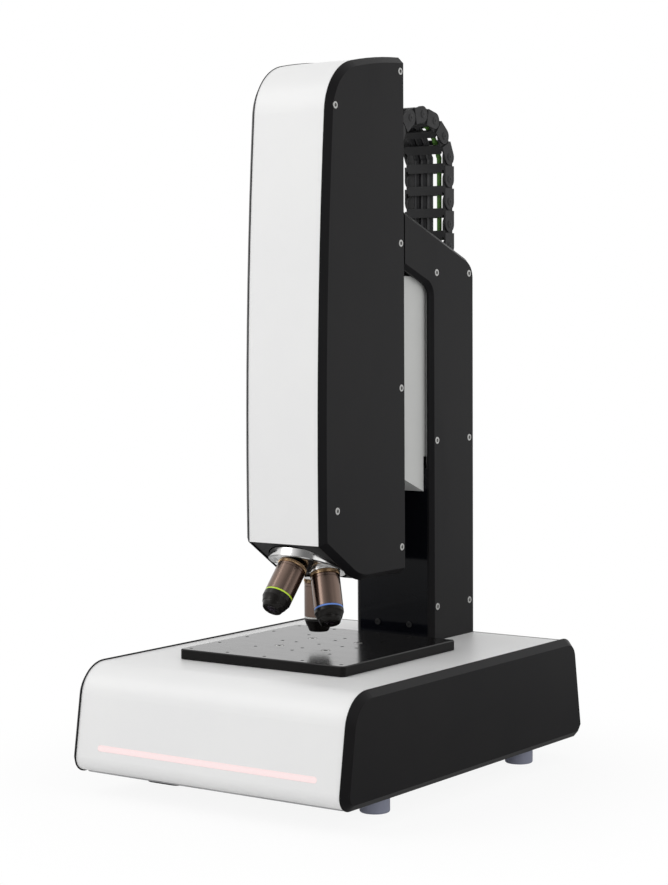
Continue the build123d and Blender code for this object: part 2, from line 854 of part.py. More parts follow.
# Cross carriage with its nut below and the hollow pedestal that lifts the stage plate
with BuildPart() as x_carriage:
    with BuildSketch(Plane.XY.offset(x_carriage_z)):
        with Locations((0, optical_axis_y)):
            RectangleRounded(x_carriage_width, x_carriage_length, carriage_corner)
    extrude(amount=x_carriage_thickness)
    with BuildSketch(Plane.XY.offset(pedestal_z)):
        with Locations((0, optical_axis_y)):
            RectangleRounded(pedestal_side, pedestal_side, pedestal_corner)
    extrude(amount=stage_plate_z - pedestal_z)
    with BuildSketch(Plane.XY.offset(pedestal_z)):
        with Locations((0, optical_axis_y)):
            RectangleRounded(pedestal_bore, pedestal_bore, pedestal_bore_corner)
    extrude(amount=stage_plate_z - pedestal_z, mode=Mode.SUBTRACT)
    with BuildSketch(Plane.YZ.offset(-screw_nut_length / 2)):
        with Locations((optical_axis_y, (x_screw_z - x_nut_drop + pedestal_z) / 2)):
            Rectangle(screw_nut_side, pedestal_z - x_screw_z + x_nut_drop)
    extrude(amount=screw_nut_length)
    with BuildSketch(Plane.YZ.offset(-screw_nut_length)):
        with Locations((optical_axis_y, x_screw_z)):
            Circle(screw_radius + screw_fit)
    extrude(amount=2 * screw_nut_length, mode=Mode.SUBTRACT)
    with BuildSketch(Plane.XY.offset(stage_plate_z)):
        with Locations((0, optical_axis_y)):
            with GridLocations(2 * stage_inner_pitch, 2 * stage_inner_pitch, 2, 2):
                Circle(stage_screw_radius)
    extrude(amount=pedestal_z - stage_plate_z, mode=Mode.SUBTRACT)
save(x_carriage, "x_carriage")

# Stage plate: black grid plate with tapped holes and four counterbored fixing holes
stage_top_z = stage_plate_z + stage_plate_thickness
grid_half = (stage_hole_count - 1) / 2
grid_places = [
    (stage_hole_pitch * (i - grid_half), optical_axis_y + stage_hole_pitch * (j - grid_half))
    for i in range(stage_hole_count)
    for j in range(stage_hole_count)
]
inner_places = [
    (stage_inner_pitch * sign_x, optical_axis_y + stage_inner_pitch * sign_y)
    for sign_x, sign_y in ((1, 0), (-1, 0), (0, 1), (0, -1))
]
fixing_places = [
    (stage_inner_pitch * sign_x, optical_axis_y + stage_inner_pitch * sign_y)
    for sign_x in (-1, 1)
    for sign_y in (-1, 1)
]
with BuildPart() as stage_plate:
    with BuildSketch(Plane.XY.offset(stage_plate_z)):
        with Locations((0, optical_axis_y)):
            RectangleRounded(stage_plate_side, stage_plate_side, stage_plate_corner)
    extrude(amount=stage_plate_thickness)
    chamfer(stage_plate.faces().sort_by(Axis.Z)[-1].edges(), stage_plate_bevel)
    with Locations(*[(x, y, stage_top_z) for x, y in grid_places + inner_places]):
        Hole(stage_hole_radius, depth=stage_plate_thickness)
    with Locations(*[(x, y, stage_top_z) for x, y in fixing_places]):
        CounterBoreHole(
            stage_screw_radius,
            stage_screw_head_radius + screw_seat_gap,
            stage_screw_head_depth + screw_seat_gap,
            depth=stage_plate_thickness,
        )
save(stage_plate, "stage_plate")

# Cap screws that hold the stage plate on its pedestal
with BuildPart() as stage_screws:
    head_low_z = stage_top_z - stage_screw_head_depth - screw_seat_gap
    with BuildSketch(Plane.XY.offset(head_low_z)):
        with Locations(*fixing_places):
            Circle(stage_screw_head_radius)
            RegularPolygon(screw_socket_radius, 6, mode=Mode.SUBTRACT)
    extrude(amount=stage_screw_head_depth)
    with BuildSketch(Plane.XY.offset(head_low_z)):
        with Locations(*fixing_places):
            Circle(screw_shank_radius)
    extrude(amount=-stage_plate_thickness)
    with BuildSketch(Plane.XY.offset(head_low_z)):
        with Locations(*fixing_places):
            Circle(screw_shank_radius)
    extrude(amount=stage_screw_head_depth / 2)
save(stage_screws, "stage_screws")

# Control board of the drives, on stand-offs from the base plate
with BuildPart() as control_board:
    board_z = plate_top_z + board_standoff
    with BuildSketch(Plane.XY.offset(board_z)):
        with Locations((board_centre_x, board_centre_y)):
            Rectangle(board_width, board_depth)
    extrude(amount=board_thickness)
    with BuildSketch(Plane.XY.offset(plate_top_z)):
        with Locations((board_centre_x, board_centre_y)):
            with GridLocations(board_width - 2 * board_post_inset, board_depth - 2 * board_post_inset, 2, 2):
                Circle(board_post_radius)
    extrude(amount=board_standoff)
    with BuildSketch(Plane.XY.offset(board_z + board_thickness)):
        with Locations((board_centre_x + module_offset_x, board_centre_y)):
            with GridLocations(module_pitch_x, module_pitch_y, 2, 3):
                Rectangle(module_side, module_side)
    extrude(amount=module_height)
    with BuildSketch(Plane.XY.offset(board_z + board_thickness)):
        with Locations((board_centre_x - board_width / 2 + board_socket_width / 2, chain_rear_y)):
            Rectangle(board_socket_width, board_socket_depth)
    extrude(amount=board_socket_top_z - board_z - board_thickness)
save(control_board, "control_board")


def column_side_outline():
    """Side outline of a column plate with its forward arm and sloping top."""
    under_front = arm_under_z + (column_front_y - arm_front_y) * tan(radians(arm_slope))
    with BuildSketch() as outline:
        with BuildLine():
            Polyline(
                (column_rear_y, column_foot_z),
                (column_front_y, column_foot_z),
                (column_front_y, arm_under_z),
                (arm_front_y, under_front),
                (arm_front_y, column_crest(arm_front_y)),
                (column_rear_y, column_crest(column_rear_y)),
                close=True,
            )
        make_face()
        round_corner(outline, (column_front_y, arm_under_z), arm_corner_radius)
        round_corner(outline, (column_rear_y, column_crest(column_rear_y)), column_tail_radius)
    return outline.sketch


def screw_planes(side, places):
    """Planes on the outer face of a side plate, one for each screw."""
    origins = [(side * column_outer_x, y, z) for y, z in places]
    return [Plane(origin=origin, x_dir=(0, 1, 0), z_dir=(side, 0, 0)) for origin in origins]


column_screw_points = [
    (y, column_screw_low_z + row * column_screw_pitch)
    for y in (column_screw_front_y, column_screw_rear_y)
    for row in range(column_screw_rows)
]
head_screw_points = [(head_screw_rear_y, z) for z in head_screw_rear_z] + list(head_screw_front)


def bored_side_plate(side, profile, bevel, plain_y, points):
    """Bevelled side plate with stepped screw bores; edges that stand at plain_y stay square."""
    with BuildPart() as plate:
        with BuildSketch(Plane.YZ.offset(side * side_inner_x)):
            add(profile)
        extrude(amount=side * side_plate_thickness)
        outer = plate.faces().sort_by(Axis.X)[-1 if side > 0 else 0]
        bevelled = [
            edge for edge in outer.edges() if all(abs(edge.center().Y - y) > seam_gap for y in plain_y)
        ]
        chamfer(bevelled, bevel)
        for plane in screw_planes(side, points):
            with BuildSketch(plane):
                Circle(screw_head_radius + screw_seat_gap)
            extrude(amount=-screw_head_height, mode=Mode.SUBTRACT)
            with BuildSketch(plane):
                Circle(screw_shank_radius + screw_seat_gap)
            extrude(amount=-side_plate_thickness, mode=Mode.SUBTRACT)
    return plate


def socket_screws(planes, head_radius, head_height, socket_radius, length):
    """Socket screws, each with its head sunk below its own plane."""
    socket_depth = screw_socket_share * head_height
    with BuildPart() as screws:
        for plane in planes:
            with BuildSketch(plane):
                Circle(head_radius)
                RegularPolygon(socket_radius, 6, mode=Mode.SUBTRACT)
            extrude(amount=-socket_depth)
            with BuildSketch(plane.offset(-socket_depth)):
                Circle(head_radius)
            extrude(amount=socket_depth - head_height)
            with BuildSketch(plane.offset(-head_height)):
                Circle(screw_shank_radius)
            extrude(amount=head_height - length)
    return screws


column_plain_y = (arm_front_y, column_rear_y)
column_side = column_side_outline()
column_side_right = bored_side_plate(1, column_side, side_bevel, column_plain_y, column_screw_points)
save(column_side_right, "column_side_right")
column_side_left = bored_side_plate(-1, column_side, side_bevel, column_plain_y, column_screw_points)
save(column_side_left, "column_side_left")
panel_screw_planes = [
    Plane(origin=(x, column_front_y - screw_head_height / 2, panel_screw_z), x_dir=(1, 0, 0), z_dir=(0, -1, 0))
    for x in (-panel_screw_x, panel_screw_x)
]
with BuildPart() as column_screws:
    for side in (-1, 1):
        add(socket_screws(screw_planes(side, column_screw_points), screw_head_radius, screw_head_height,
                          screw_socket_radius, screw_length))
    add(socket_screws(panel_screw_planes, panel_screw_radius, screw_head_height / 2, panel_socket_radius,
                      panel_screw_length))
save(column_screws, "column_screws")

lug_outer_x = chain_width / 2 - link_plate - link_lap_gap
link_lap = (link_plate - link_lap_gap) / 2
cable_slot_width = 2 * (lug_outer_x - anchor_lug)
flange_front_y = column_front_y + front_panel_thickness
flange_rear_y = column_rear_y - side_rear_bevel - rear_panel_thickness
core_mid_y = (core_front_y + core_rear_y) / 2
core_depth = core_rear_y - core_front_y
flange_depth = flange_rear_y - flange_front_y
flange_mid_y = (flange_rear_y + flange_front_y) / 2
flange_thickness = side_inner_x - flange_inner_x
core_channel_width = spine_width / 2 - core_wall - core_wall / 2
column_anchor_z = chain_pivot_z - column_link_count * link_pitch
head_anchor_z = chain_pivot_z - (head_link_count + 1) * link_pitch

# Column core: extruded frame with side flanges, cut on the slope, footed on the base plate
with BuildPart() as column_core:
    with BuildSketch(Plane.XY.offset(plate_top_z)):
        with Locations((0, core_mid_y)):
            Rectangle(spine_width, core_depth)
            with GridLocations(spine_width / 2 - core_wall / 2, 0, 2, 1):
                Rectangle(core_channel_width, core_depth - 2 * core_wall, mode=Mode.SUBTRACT)
    extrude(amount=column_crest_z - plate_top_z)
    with BuildSketch(Plane.XY.offset(column_foot_z)):
        with Locations((0, flange_mid_y)):
            with GridLocations(spine_width - flange_thickness, 0, 2, 1):
                Rectangle(flange_thickness, flange_depth)
    extrude(amount=column_crest_z - column_foot_z)
    with BuildSketch(Plane.XY.offset(plate_top_z)):
        with Locations((0, core_mid_y)):
            Rectangle(spine_width + 2 * core_foot_margin_x, core_depth + 2 * core_foot_margin_y)
            Rectangle(spine_width - 2 * core_wall, core_depth - 2 * core_wall, mode=Mode.SUBTRACT)
    extrude(amount=core_foot_thickness)
    with BuildSketch(Plane.YZ.offset(-spine_width)):
        with BuildLine():
            Polyline(
                (arm_front_y, column_crest(arm_front_y, core_top_inset)),
                (column_rear_y, column_crest(column_rear_y, core_top_inset)),
                (column_rear_y, 2 * column_crest_z),
                (arm_front_y, 2 * column_crest_z),
                close=True,
            )
        make_face()
    extrude(amount=2 * spine_width, mode=Mode.SUBTRACT)
    motor_room = motor_side / 2 + lift_motor_gap
    with BuildSketch(Plane.XY.offset(plate_top_z + core_foot_thickness)):
        with Locations((0, lift_screw_y + motor_room - core_wall)):
            Rectangle(2 * motor_room, 2 * core_wall)
    extrude(amount=lift_motor_top_z - plate_top_z - core_foot_thickness, mode=Mode.SUBTRACT)
    for low_z, height in (
        (lift_motor_top_z, motor_mount_thickness),
        (lift_support_low_z, lift_support_height),
        (lift_support_high_z, lift_support_height),
    ):
        with BuildSketch(Plane.XY.offset(low_z)):
            with Locations((0, (core_front_y + lift_screw_y - lift_support_reach) / 2)):
                Rectangle(screw_nut_side, core_front_y - lift_screw_y + lift_support_reach)
            with Locations((0, lift_screw_y)):
                Circle(screw_radius + screw_fit, mode=Mode.SUBTRACT)
        extrude(amount=height)
    for side in (-1, 1):
        with BuildSketch(Plane.YZ.offset(side * lug_outer_x)):
            with Locations((chain_rear_y, column_anchor_z)):
                Circle(anchor_radius)
            with Locations(((core_rear_y + chain_rear_y) / 2, column_anchor_z)):
                Rectangle(chain_rear_y - core_rear_y, 2 * anchor_radius)
        extrude(amount=-side * anchor_lug)
        with BuildSketch(Plane.YZ.offset(side * lug_outer_x)):
            with Locations((chain_rear_y, column_anchor_z)):
                Circle(anchor_boss_radius)
        extrude(amount=side * (link_plate - link_lap))
        with BuildSketch(Plane.YZ.offset(side * lug_outer_x)):
            with Locations((chain_rear_y, column_anchor_z)):
                Circle(link_pin_radius)
        extrude(amount=side * (chain_width / 2 - lug_outer_x))
        for plane in screw_planes(side, column_screw_points):
            with BuildSketch(plane):
                Circle(screw_shank_radius + screw_fit)
            extrude(amount=-side_plate_thickness - 2 * core_wall, mode=Mode.SUBTRACT)
save(column_core, "column_core")

# Glossy front panel of the column with two small screws
with BuildPart() as column_front_panel:
    with BuildSketch(Plane.XZ.offset(-column_front_y)):
        with Locations((0, (column_foot_z + front_panel_top_z) / 2)):
            Rectangle(spine_width, front_panel_top_z - column_foot_z)
        with Locations((-panel_screw_x, panel_screw_z), (panel_screw_x, panel_screw_z)):
            Circle(screw_shank_radius + screw_seat_gap, mode=Mode.SUBTRACT)
    extrude(amount=-front_panel_thickness)
save(column_front_panel, "column_front_panel")

# Rear panel of the column, folded from thin sheet
rear_panel_top_z = column_crest(column_rear_y) - column_tail_radius
with BuildPart() as column_rear_panel:
    with BuildSketch(Plane.XZ.offset(-column_rear_y + side_rear_bevel)):
        with Locations((0, (column_foot_z + rear_panel_top_z) / 2)):
            Rectangle(spine_width, rear_panel_top_z - column_foot_z)
            with GridLocations(0, vent_pitch, 1, vent_count):
                SlotOverall(spine_width - 2 * vent_margin, vent_height, mode=Mode.SUBTRACT)
    extrude(amount=rear_panel_thickness)
save(column_rear_panel, "column_rear_panel")

# Sloping cover over the top of the column core
with BuildPart() as column_top_cover:
    with BuildSketch(Plane.YZ.offset(-side_inner_x)):
        with BuildLine():
            Polyline(
                (top_cover_front_y, column_crest(top_cover_front_y, core_top_inset)),
                (top_cover_front_y, column_crest(top_cover_front_y, core_top_inset - top_cover_thickness)),
                (top_cover_rear_y, column_crest(top_cover_rear_y, core_top_inset - top_cover_thickness)),
                (top_cover_rear_y, column_crest(top_cover_rear_y, core_top_inset)),
                close=True,
            )
        make_face()
    extrude(amount=spine_width)
save(column_top_cover, "column_top_cover")

# Lift rails on the front of the core
with BuildPart() as lift_rails:
    with BuildSketch(Plane.XY.offset(lift_rail_low_z)):
        for x in (-lift_rail_spacing / 2, lift_rail_spacing / 2):
            right = [
                (x + rail_width / 2, core_front_y),
                (x + rail_width / 2, core_front_y - lift_rail_flank),
                (x + rail_width / 2 - rail_waist, core_front_y - lift_waist_near),
                (x + rail_width / 2 - rail_waist, core_front_y - lift_waist_far),
                (x + rail_width / 2, core_front_y - lift_rail_height),
            ]
            with BuildLine():
                Polyline(*right, *[(2 * x - across, y) for across, y in reversed(right)], close=True)
            make_face()
    extrude(amount=lift_rail_high_z - lift_rail_low_z)
save(lift_rails, "lift_rails")

# Bearing blocks of the lift, two on each rail
groove_depth = bracket_rear_y + lift_block_depth - core_front_y + lift_rail_height + rail_gap
with BuildPart() as lift_bearing_blocks:
    for centre_z in (lift_block_low_z, lift_block_high_z):
        with BuildSketch(Plane.XY.offset(centre_z - block_length / 2)):
            with GridLocations(lift_rail_spacing, 0, 2, 1):
                with Locations((0, bracket_rear_y + lift_block_depth / 2)):
                    Rectangle(lift_block_width, lift_block_depth)
                with Locations((0, bracket_rear_y + lift_block_depth - groove_depth / 2)):
                    Rectangle(rail_width + 2 * rail_gap, groove_depth, mode=Mode.SUBTRACT)
        extrude(amount=block_length)
save(lift_bearing_blocks, "lift_bearing_blocks")

# Lift motor and the lift screw with its coupling
lift_motor_plane = Plane(origin=(0, lift_screw_y, lift_motor_top_z), x_dir=(1, 0, 0), z_dir=(0, 0, -1))
lift_motor = stepper_motor(lift_motor_plane, lift_motor_height)
save(lift_motor, "lift_motor")
coupling_low_z = lift_motor_top_z + motor_mount_thickness + coupling_gap
lift_screw_outline = [
    (0, lift_motor_top_z - motor_shaft_entry),
    (motor_shaft_radius, lift_motor_top_z - motor_shaft_entry),
    (motor_shaft_radius, coupling_low_z),
    (coupling_radius, coupling_low_z),
    (coupling_radius, coupling_low_z + coupling_height),
    (screw_radius, coupling_low_z + coupling_height),
    (screw_radius, lift_screw_high_z - screw_end_bevel),
    (screw_radius - screw_end_bevel, lift_screw_high_z),
    (0, lift_screw_high_z),
]
lift_screw = turned((0, lift_screw_y, 0), (0, 0, 1), lift_screw_outline)
save(lift_screw, "lift_screw")

bracket_front_y = head_rear_y
bracket_run = bracket_rear_y - bracket_front_y
bracket_slope = (bracket_under_front_z - bracket_under_rear_z) / bracket_run
bracket_under_step_z = bracket_under_front_z - bracket_slope * (bracket_step_y - bracket_front_y)


def bracket_outline(wall, web):
    """Side outline of the lift bracket, drawn inside its outer faces by a wall and a web."""
    with BuildSketch() as outline:
        with BuildLine():
            Polyline(
                (bracket_front_y + wall, bracket_under_front_z + web - bracket_slope * wall),
                (bracket_step_y - wall, bracket_under_step_z + web + bracket_slope * wall),
                (bracket_step_y - wall, bracket_step_z + web),
                (bracket_rear_y - wall, bracket_step_z + web),
                (bracket_rear_y - wall, bracket_top_z - web),
                (bracket_front_y + wall, bracket_top_z - web),
                close=True,
            )
        make_face()
    return outline.sketch


# Lift bracket: light box casting from the slide to the head, with the nut and the chain lugs
with BuildPart() as lift_bracket:
    with BuildSketch(Plane.YZ.offset(-bracket_half_width)):
        add(bracket_outline(0, 0))
    extrude(amount=2 * bracket_half_width)
    with BuildSketch(Plane.YZ.offset(-bracket_half_width + bracket_wall)):
        add(bracket_outline(bracket_wall, bracket_web))
    extrude(amount=2 * (bracket_half_width - bracket_wall), mode=Mode.SUBTRACT)
    with BuildSketch(Plane.XY.offset(bracket_top_z)):
        with Locations((0, chain_front_y)):
            Rectangle(cable_slot_width, bracket_slot_depth)
    extrude(amount=-2 * bracket_web, mode=Mode.SUBTRACT)
    with BuildSketch(Plane.XZ.offset(-bracket_front_y)):
        with Locations((0, head_cable_z)):
            Rectangle(cable_slot_width, cable_slot_height)
    extrude(amount=-bracket_wall, mode=Mode.SUBTRACT)
    with BuildSketch(Plane.XY.offset(lift_nut_low_z)):
        with Locations((0, (bracket_rear_y + core_front_y - lift_nut_gap) / 2)):
            Rectangle(lift_nut_width, core_front_y - bracket_rear_y - lift_nut_gap)
    extrude(amount=lift_nut_length)
    with BuildSketch(Plane.XY.offset(lift_nut_low_z)):
        with Locations((0, lift_screw_y)):
            Circle(screw_radius + screw_fit)
    extrude(amount=lift_nut_length, mode=Mode.SUBTRACT)
    for side in (-1, 1):
        with BuildSketch(Plane.YZ.offset(side * lug_outer_x)):
            with Locations((chain_front_y, head_anchor_z)):
                Circle(anchor_radius)
            with Locations((chain_front_y, (head_anchor_z + bracket_top_z) / 2)):
                Rectangle(2 * anchor_radius, head_anchor_z - bracket_top_z)
        extrude(amount=-side * anchor_lug)
        with BuildSketch(Plane.YZ.offset(side * lug_outer_x)):
            with Locations((chain_front_y, head_anchor_z)):
                Circle(anchor_boss_radius)
        extrude(amount=side * link_lap_gap)
save(lift_bracket, "lift_bracket")

# Head side plates
head_plain_y = (head_rear_y,)
head_side_right = bored_side_plate(1, head_outline(0), head_bevel, head_plain_y, head_screw_points)
save(head_side_right, "head_side_right")
head_side_left = bored_side_plate(-1, head_outline(0), head_bevel, head_plain_y, head_screw_points)
save(head_side_left, "head_side_left")
with BuildPart() as head_screws:
    for side in (-1, 1):
        add(socket_screws(screw_planes(side, head_screw_points), screw_head_radius, screw_head_height,
                          screw_socket_radius, screw_length))
save(head_screws, "head_screws")


def sunk(arc, point, inset):
    """Point of an arc moved towards the centre of the arc."""
    return point + (arc.arc_center - point).normalized() * inset


# White head cover: one bowed sheet up the front and over the top
cover_arcs = [arc for arc in head_outline(0).edges().filter_by(GeomType.CIRCLE) if arc.center().Y > head_toe_z]
bow_arc = min(cover_arcs, key=lambda arc: arc.center().Y)
crown_arc = max(cover_arcs, key=lambda arc: arc.center().Y)
cover_toe = min((bow_arc @ 0, bow_arc @ 1), key=lambda point: point.Y)
cover_tail = max((crown_arc @ 0, crown_arc @ 1), key=lambda point: point.X)
head_cover_inner = head_cover_inset + head_sheet
with BuildPart() as head_cover:
    with BuildSketch(Plane.YZ.offset(-side_inner_x)):
        with BuildLine():
            for skin in (head_cover_inset, head_cover_inner):
                for arc in cover_arcs:
                    ThreePointArc(*[sunk(arc, arc @ share, skin) for share in (0, 0.5, 1)])
            for arc, point in ((bow_arc, cover_toe), (crown_arc, cover_tail)):
                Line(sunk(arc, point, head_cover_inset), sunk(arc, point, head_cover_inner))
        make_face()
    extrude(amount=spine_width)
save(head_cover, "head_cover")

# Underside plate of the head with the round cut-out of the nosepiece
underplate_rear_y = head_rear_y - underplate_inset - head_sheet - seam_gap
turret_cut_origin = at(turret_rim_top - turret_cut_start, apex, turret_axis)
with BuildPart() as head_underplate:
    with BuildSketch(Plane.YZ.offset(-side_inner_x)):
        add(head_outline(underplate_inset))
        add(head_outline(underplate_inset + head_sheet), mode=Mode.SUBTRACT)
        with BuildLine():
            Polyline(
                (2 * head_front_y, 2 * top_shelf_z),
                (2 * head_front_y, head_toe_z - seam_gap),
                (0, head_toe_z - seam_gap),
                (underplate_rear_y, head_floor_z + underplate_rear_rise),
                (underplate_rear_y, 0),
                (2 * head_rear_y, 0),
                (2 * head_rear_y, 2 * top_shelf_z),
                close=True,
            )
        make_face(mode=Mode.SUBTRACT)
    extrude(amount=spine_width)
    with BuildSketch(Plane(origin=turret_cut_origin, x_dir=(1, 0, 0), z_dir=turret_axis)):
        Circle(turret_radius + turret_clearance)
    extrude(amount=turret_cut_depth, mode=Mode.SUBTRACT)
save(head_underplate, "head_underplate")

# Rear panel of the head with the slot of the cables
panel_low_z = head_floor_z + underplate_inset
panel_high_z = head_crown_z - head_cover_inner - seam_gap
with BuildPart() as head_rear_panel:
    with BuildSketch(Plane.XZ.offset(-head_panel_y)):
        with Locations((0, (panel_low_z + panel_high_z) / 2)):
            Rectangle(spine_width, panel_high_z - panel_low_z)
        with Locations((0, head_cable_z)):
            Rectangle(cable_slot_width, cable_slot_height, mode=Mode.SUBTRACT)
    extrude(amount=-(head_rear_y - head_panel_y))
save(head_rear_panel, "head_rear_panel")

# Head spine: cast back plate with shelves that carry the nosepiece, optics and covers
with BuildPart() as head_spine:
    spine_depth = head_panel_y - spine_front_y
    with BuildSketch(Plane.XY.offset(panel_low_z + head_sheet)):
        with Locations((0, spine_front_y + spine_depth / 2)):
            Rectangle(spine_width, spine_depth)
    extrude(amount=spine_top_z - panel_low_z - head_sheet)
    for shelf_z, reach_y in (
        (low_shelf_z, shelf_reach_y),
        (mid_shelf_z, mid_shelf_reach_y),
        (camera_shelf_z, camera_shelf_reach_y),
        (top_shelf_z, top_shelf_reach_y),
    ):
        with BuildSketch(Plane.XY.offset(shelf_z)):
            with Locations((0, (reach_y + spine_front_y) / 2)):
                Rectangle(spine_width, spine_front_y - reach_y)
                with Locations((0, shelf_slot_offset)):
                    Rectangle(spine_width - 2 * shelf_slot_margin, shelf_slot_depth, mode=Mode.SUBTRACT)
        extrude(amount=shelf_thickness)
    with BuildSketch(Plane.XY.offset(low_shelf_z)):
        with Locations((0, optical_axis_y)):
            Circle(light_path_radius + shelf_bore_gap)
    extrude(amount=mid_shelf_z + shelf_thickness - low_shelf_z, mode=Mode.SUBTRACT)
    with BuildSketch(Plane.XZ.offset(-head_panel_y)):
        with Locations((0, head_cable_z)):
            Rectangle(cable_slot_width, cable_slot_height)
    extrude(amount=head_panel_y - head_socket_y, mode=Mode.SUBTRACT)
    for side in (-1, 1):
        for plane in screw_planes(side, head_screw_points):
            with BuildSketch(plane):
                Circle(screw_shank_radius + screw_fit)
            extrude(amount=-side_plate_thickness - 2 * core_wall, mode=Mode.SUBTRACT)
save(head_spine, "head_spine")

# Nosepiece holder: fixed wedge under the low shelf with the turret pivot
turret_top_origin = at(turret_rim_top - turret_gap, apex, turret_axis)
turret_top = Plane(origin=turret_top_origin, x_dir=(1, 0, 0), z_dir=turret_axis)
with BuildPart() as nosepiece_holder:
    with BuildSketch(Plane.XY.offset(low_shelf_z)):
        with Locations((0, holder_centre_y)):
            Circle(holder_radius)
    extrude(amount=-holder_depth)
    split(bisect_by=turret_top, keep=Keep.BOTTOM)
    with BuildSketch(Plane.XY.offset(low_shelf_z)):
        with Locations((0, optical_axis_y)):
            Circle(light_path_radius)
    extrude(amount=-holder_depth, mode=Mode.SUBTRACT)
    with BuildSketch(turret_top.offset(-turret_pivot_root)):
        Circle(turret_pivot_radius)
    extrude(amount=turret_rim_bottom - turret_rim_top + turret_pivot_root)
save(nosepiece_holder, "nosepiece_holder")

# Axes of the four ports: the first stands upright, the others lie round the tilted cone
port_axes = [
    Vector(0, 0, -1).rotate(Axis((0, 0, 0), turret_axis), 360.0 / port_count * index)
    for index in range(port_count)
]

# Revolving nosepiece: chrome rim over a dome with four bored bosses
turret_crown_bottom = turret_rim_bottom + turret_dome_depth + turret_crown
with BuildPart() as nosepiece:
    with BuildSketch(axial_plane(apex, turret_axis)):
        with BuildLine():
            Polyline(
                (turret_pivot_radius + turret_pivot_fit, turret_rim_top),
                (turret_radius - turret_top_bevel, turret_rim_top),
                (turret_radius, turret_rim_top + turret_top_bevel),
                (turret_radius, turret_rim_bottom - turret_low_bevel),
                (turret_radius - turret_low_bevel, turret_rim_bottom),
                (turret_radius - turret_lip, turret_rim_bottom),
                (turret_dome_radius, turret_rim_bottom + turret_dome_depth),
                (turret_pivot_radius + turret_pivot_fit, turret_crown_bottom),
                close=True,
            )
        make_face()
    revolve(axis=Axis(apex, turret_axis))
    for port_axis in port_axes:
        port_plane = Plane(origin=at(port_face, apex, port_axis), z_dir=port_axis)
        with BuildSketch(port_plane):
            Circle(port_boss_radius)
        extrude(amount=-port_boss_length)
    for port_axis in port_axes:
        port_plane = Plane(origin=at(port_face, apex, port_axis), z_dir=port_axis)
        with BuildSketch(port_plane):
            Circle(port_bore_radius)
        extrude(amount=-thread_length - port_bore_margin, mode=Mode.SUBTRACT)
        with BuildSketch(port_plane):
            Circle(port_path_radius)
        extrude(amount=-port_path_depth, mode=Mode.SUBTRACT)
save(nosepiece, "nosepiece")


def objective(port_axis):
    """Objective: threaded stub, knurled grip, barrel, cone and a recessed front lens."""
    outline = [
        (front_lens_radius, port_face - thread_length),
        (thread_radius, port_face - thread_length),
        (thread_radius, port_face),
        (grip_radius, port_face),
        (grip_radius, port_face + grip_length),
        (barrel_radius, port_face + grip_length + barrel_step),
        (barrel_radius, barrel_end),
        (tip_radius, tip_end),
        (front_lens_radius, tip_end),
        (front_lens_radius, tip_end - front_lens_recess),
        (0, tip_end - front_lens_recess),
        (0, port_face + grip_length),
        (front_lens_radius, port_face + grip_length),
    ]
    return turned(apex, port_axis, outline)


for objective_name, port_index in (
    ("objective_white_ring", 0),
    ("objective_blue_ring", 1),
    ("objective_green_ring", 2),
):
    save(objective(port_axes[port_index]), objective_name)

# Optics tube on the low shelf
optics_low_z = low_shelf_z + shelf_thickness
with BuildPart() as optics_tube:
    with BuildSketch(axial_plane((0, optical_axis_y, 0), (0, 0, 1))):
        with BuildLine():
            Polyline(
                (tube_radius - tube_wall, optics_low_z),
                (tube_flange_radius, optics_low_z),
                (tube_flange_radius, optics_low_z + tube_flange_height),
                (tube_radius, optics_low_z + tube_flange_height),
                (tube_radius, mid_shelf_z),
                (tube_radius - tube_wall, mid_shelf_z),
                close=True,
            )
        make_face()
    revolve(axis=Axis((0, optical_axis_y, 0), (0, 0, 1)))
save(optics_tube, "optics_tube")

# Tube lens, thick in the middle
with BuildPart() as tube_lens:
    lens_radius = tube_radius - tube_wall
    lens_low_z = tube_lens_z
    lens_high_z = tube_lens_z + tube_lens_thickness
    lens_bulge = (tube_lens_thickness - tube_lens_edge) / 2
    with BuildSketch(axial_plane((0, optical_axis_y, 0), (0, 0, 1))):
        with BuildLine():
            sag = lens_sag_share * lens_bulge
            crown = (lens_radius, lens_high_z - lens_bulge)
            heel = (lens_radius, lens_low_z + lens_bulge)
            Line((0, lens_low_z), (0, lens_high_z))
            Line(heel, crown)
            ThreePointArc((0, lens_high_z), (lens_radius / 2, lens_high_z - lens_bulge + sag), crown)
            ThreePointArc((0, lens_low_z), (lens_radius / 2, lens_low_z + lens_bulge - sag), heel)
        make_face()
    revolve(axis=Axis((0, optical_axis_y, 0), (0, 0, 1)))
save(tube_lens, "tube_lens")

# Beam splitter housing on the middle shelf, bored upward and towards the lamp
splitter_low_z = mid_shelf_z + shelf_thickness
splitter_mid_z = splitter_low_z + splitter_side / 2
with BuildPart() as beam_splitter:
    with BuildSketch(Plane.XY.offset(splitter_low_z)):
        with Locations((0, optical_axis_y)):
            Rectangle(splitter_side, splitter_side)
    extrude(amount=splitter_side)
    chamfer(beam_splitter.edges().filter_by(Axis.Z), splitter_bevel)
    with BuildSketch(Plane.XY.offset(splitter_low_z)):
        with Locations((0, optical_axis_y)):
            Circle(light_path_radius)
    extrude(amount=splitter_side, mode=Mode.SUBTRACT)
    with BuildSketch(Plane.XZ.offset(-optical_axis_y)):
        with Locations((0, splitter_mid_z)):
            Circle(lamp_path_radius)
    extrude(amount=splitter_side, mode=Mode.SUBTRACT)
save(beam_splitter, "beam_splitter")

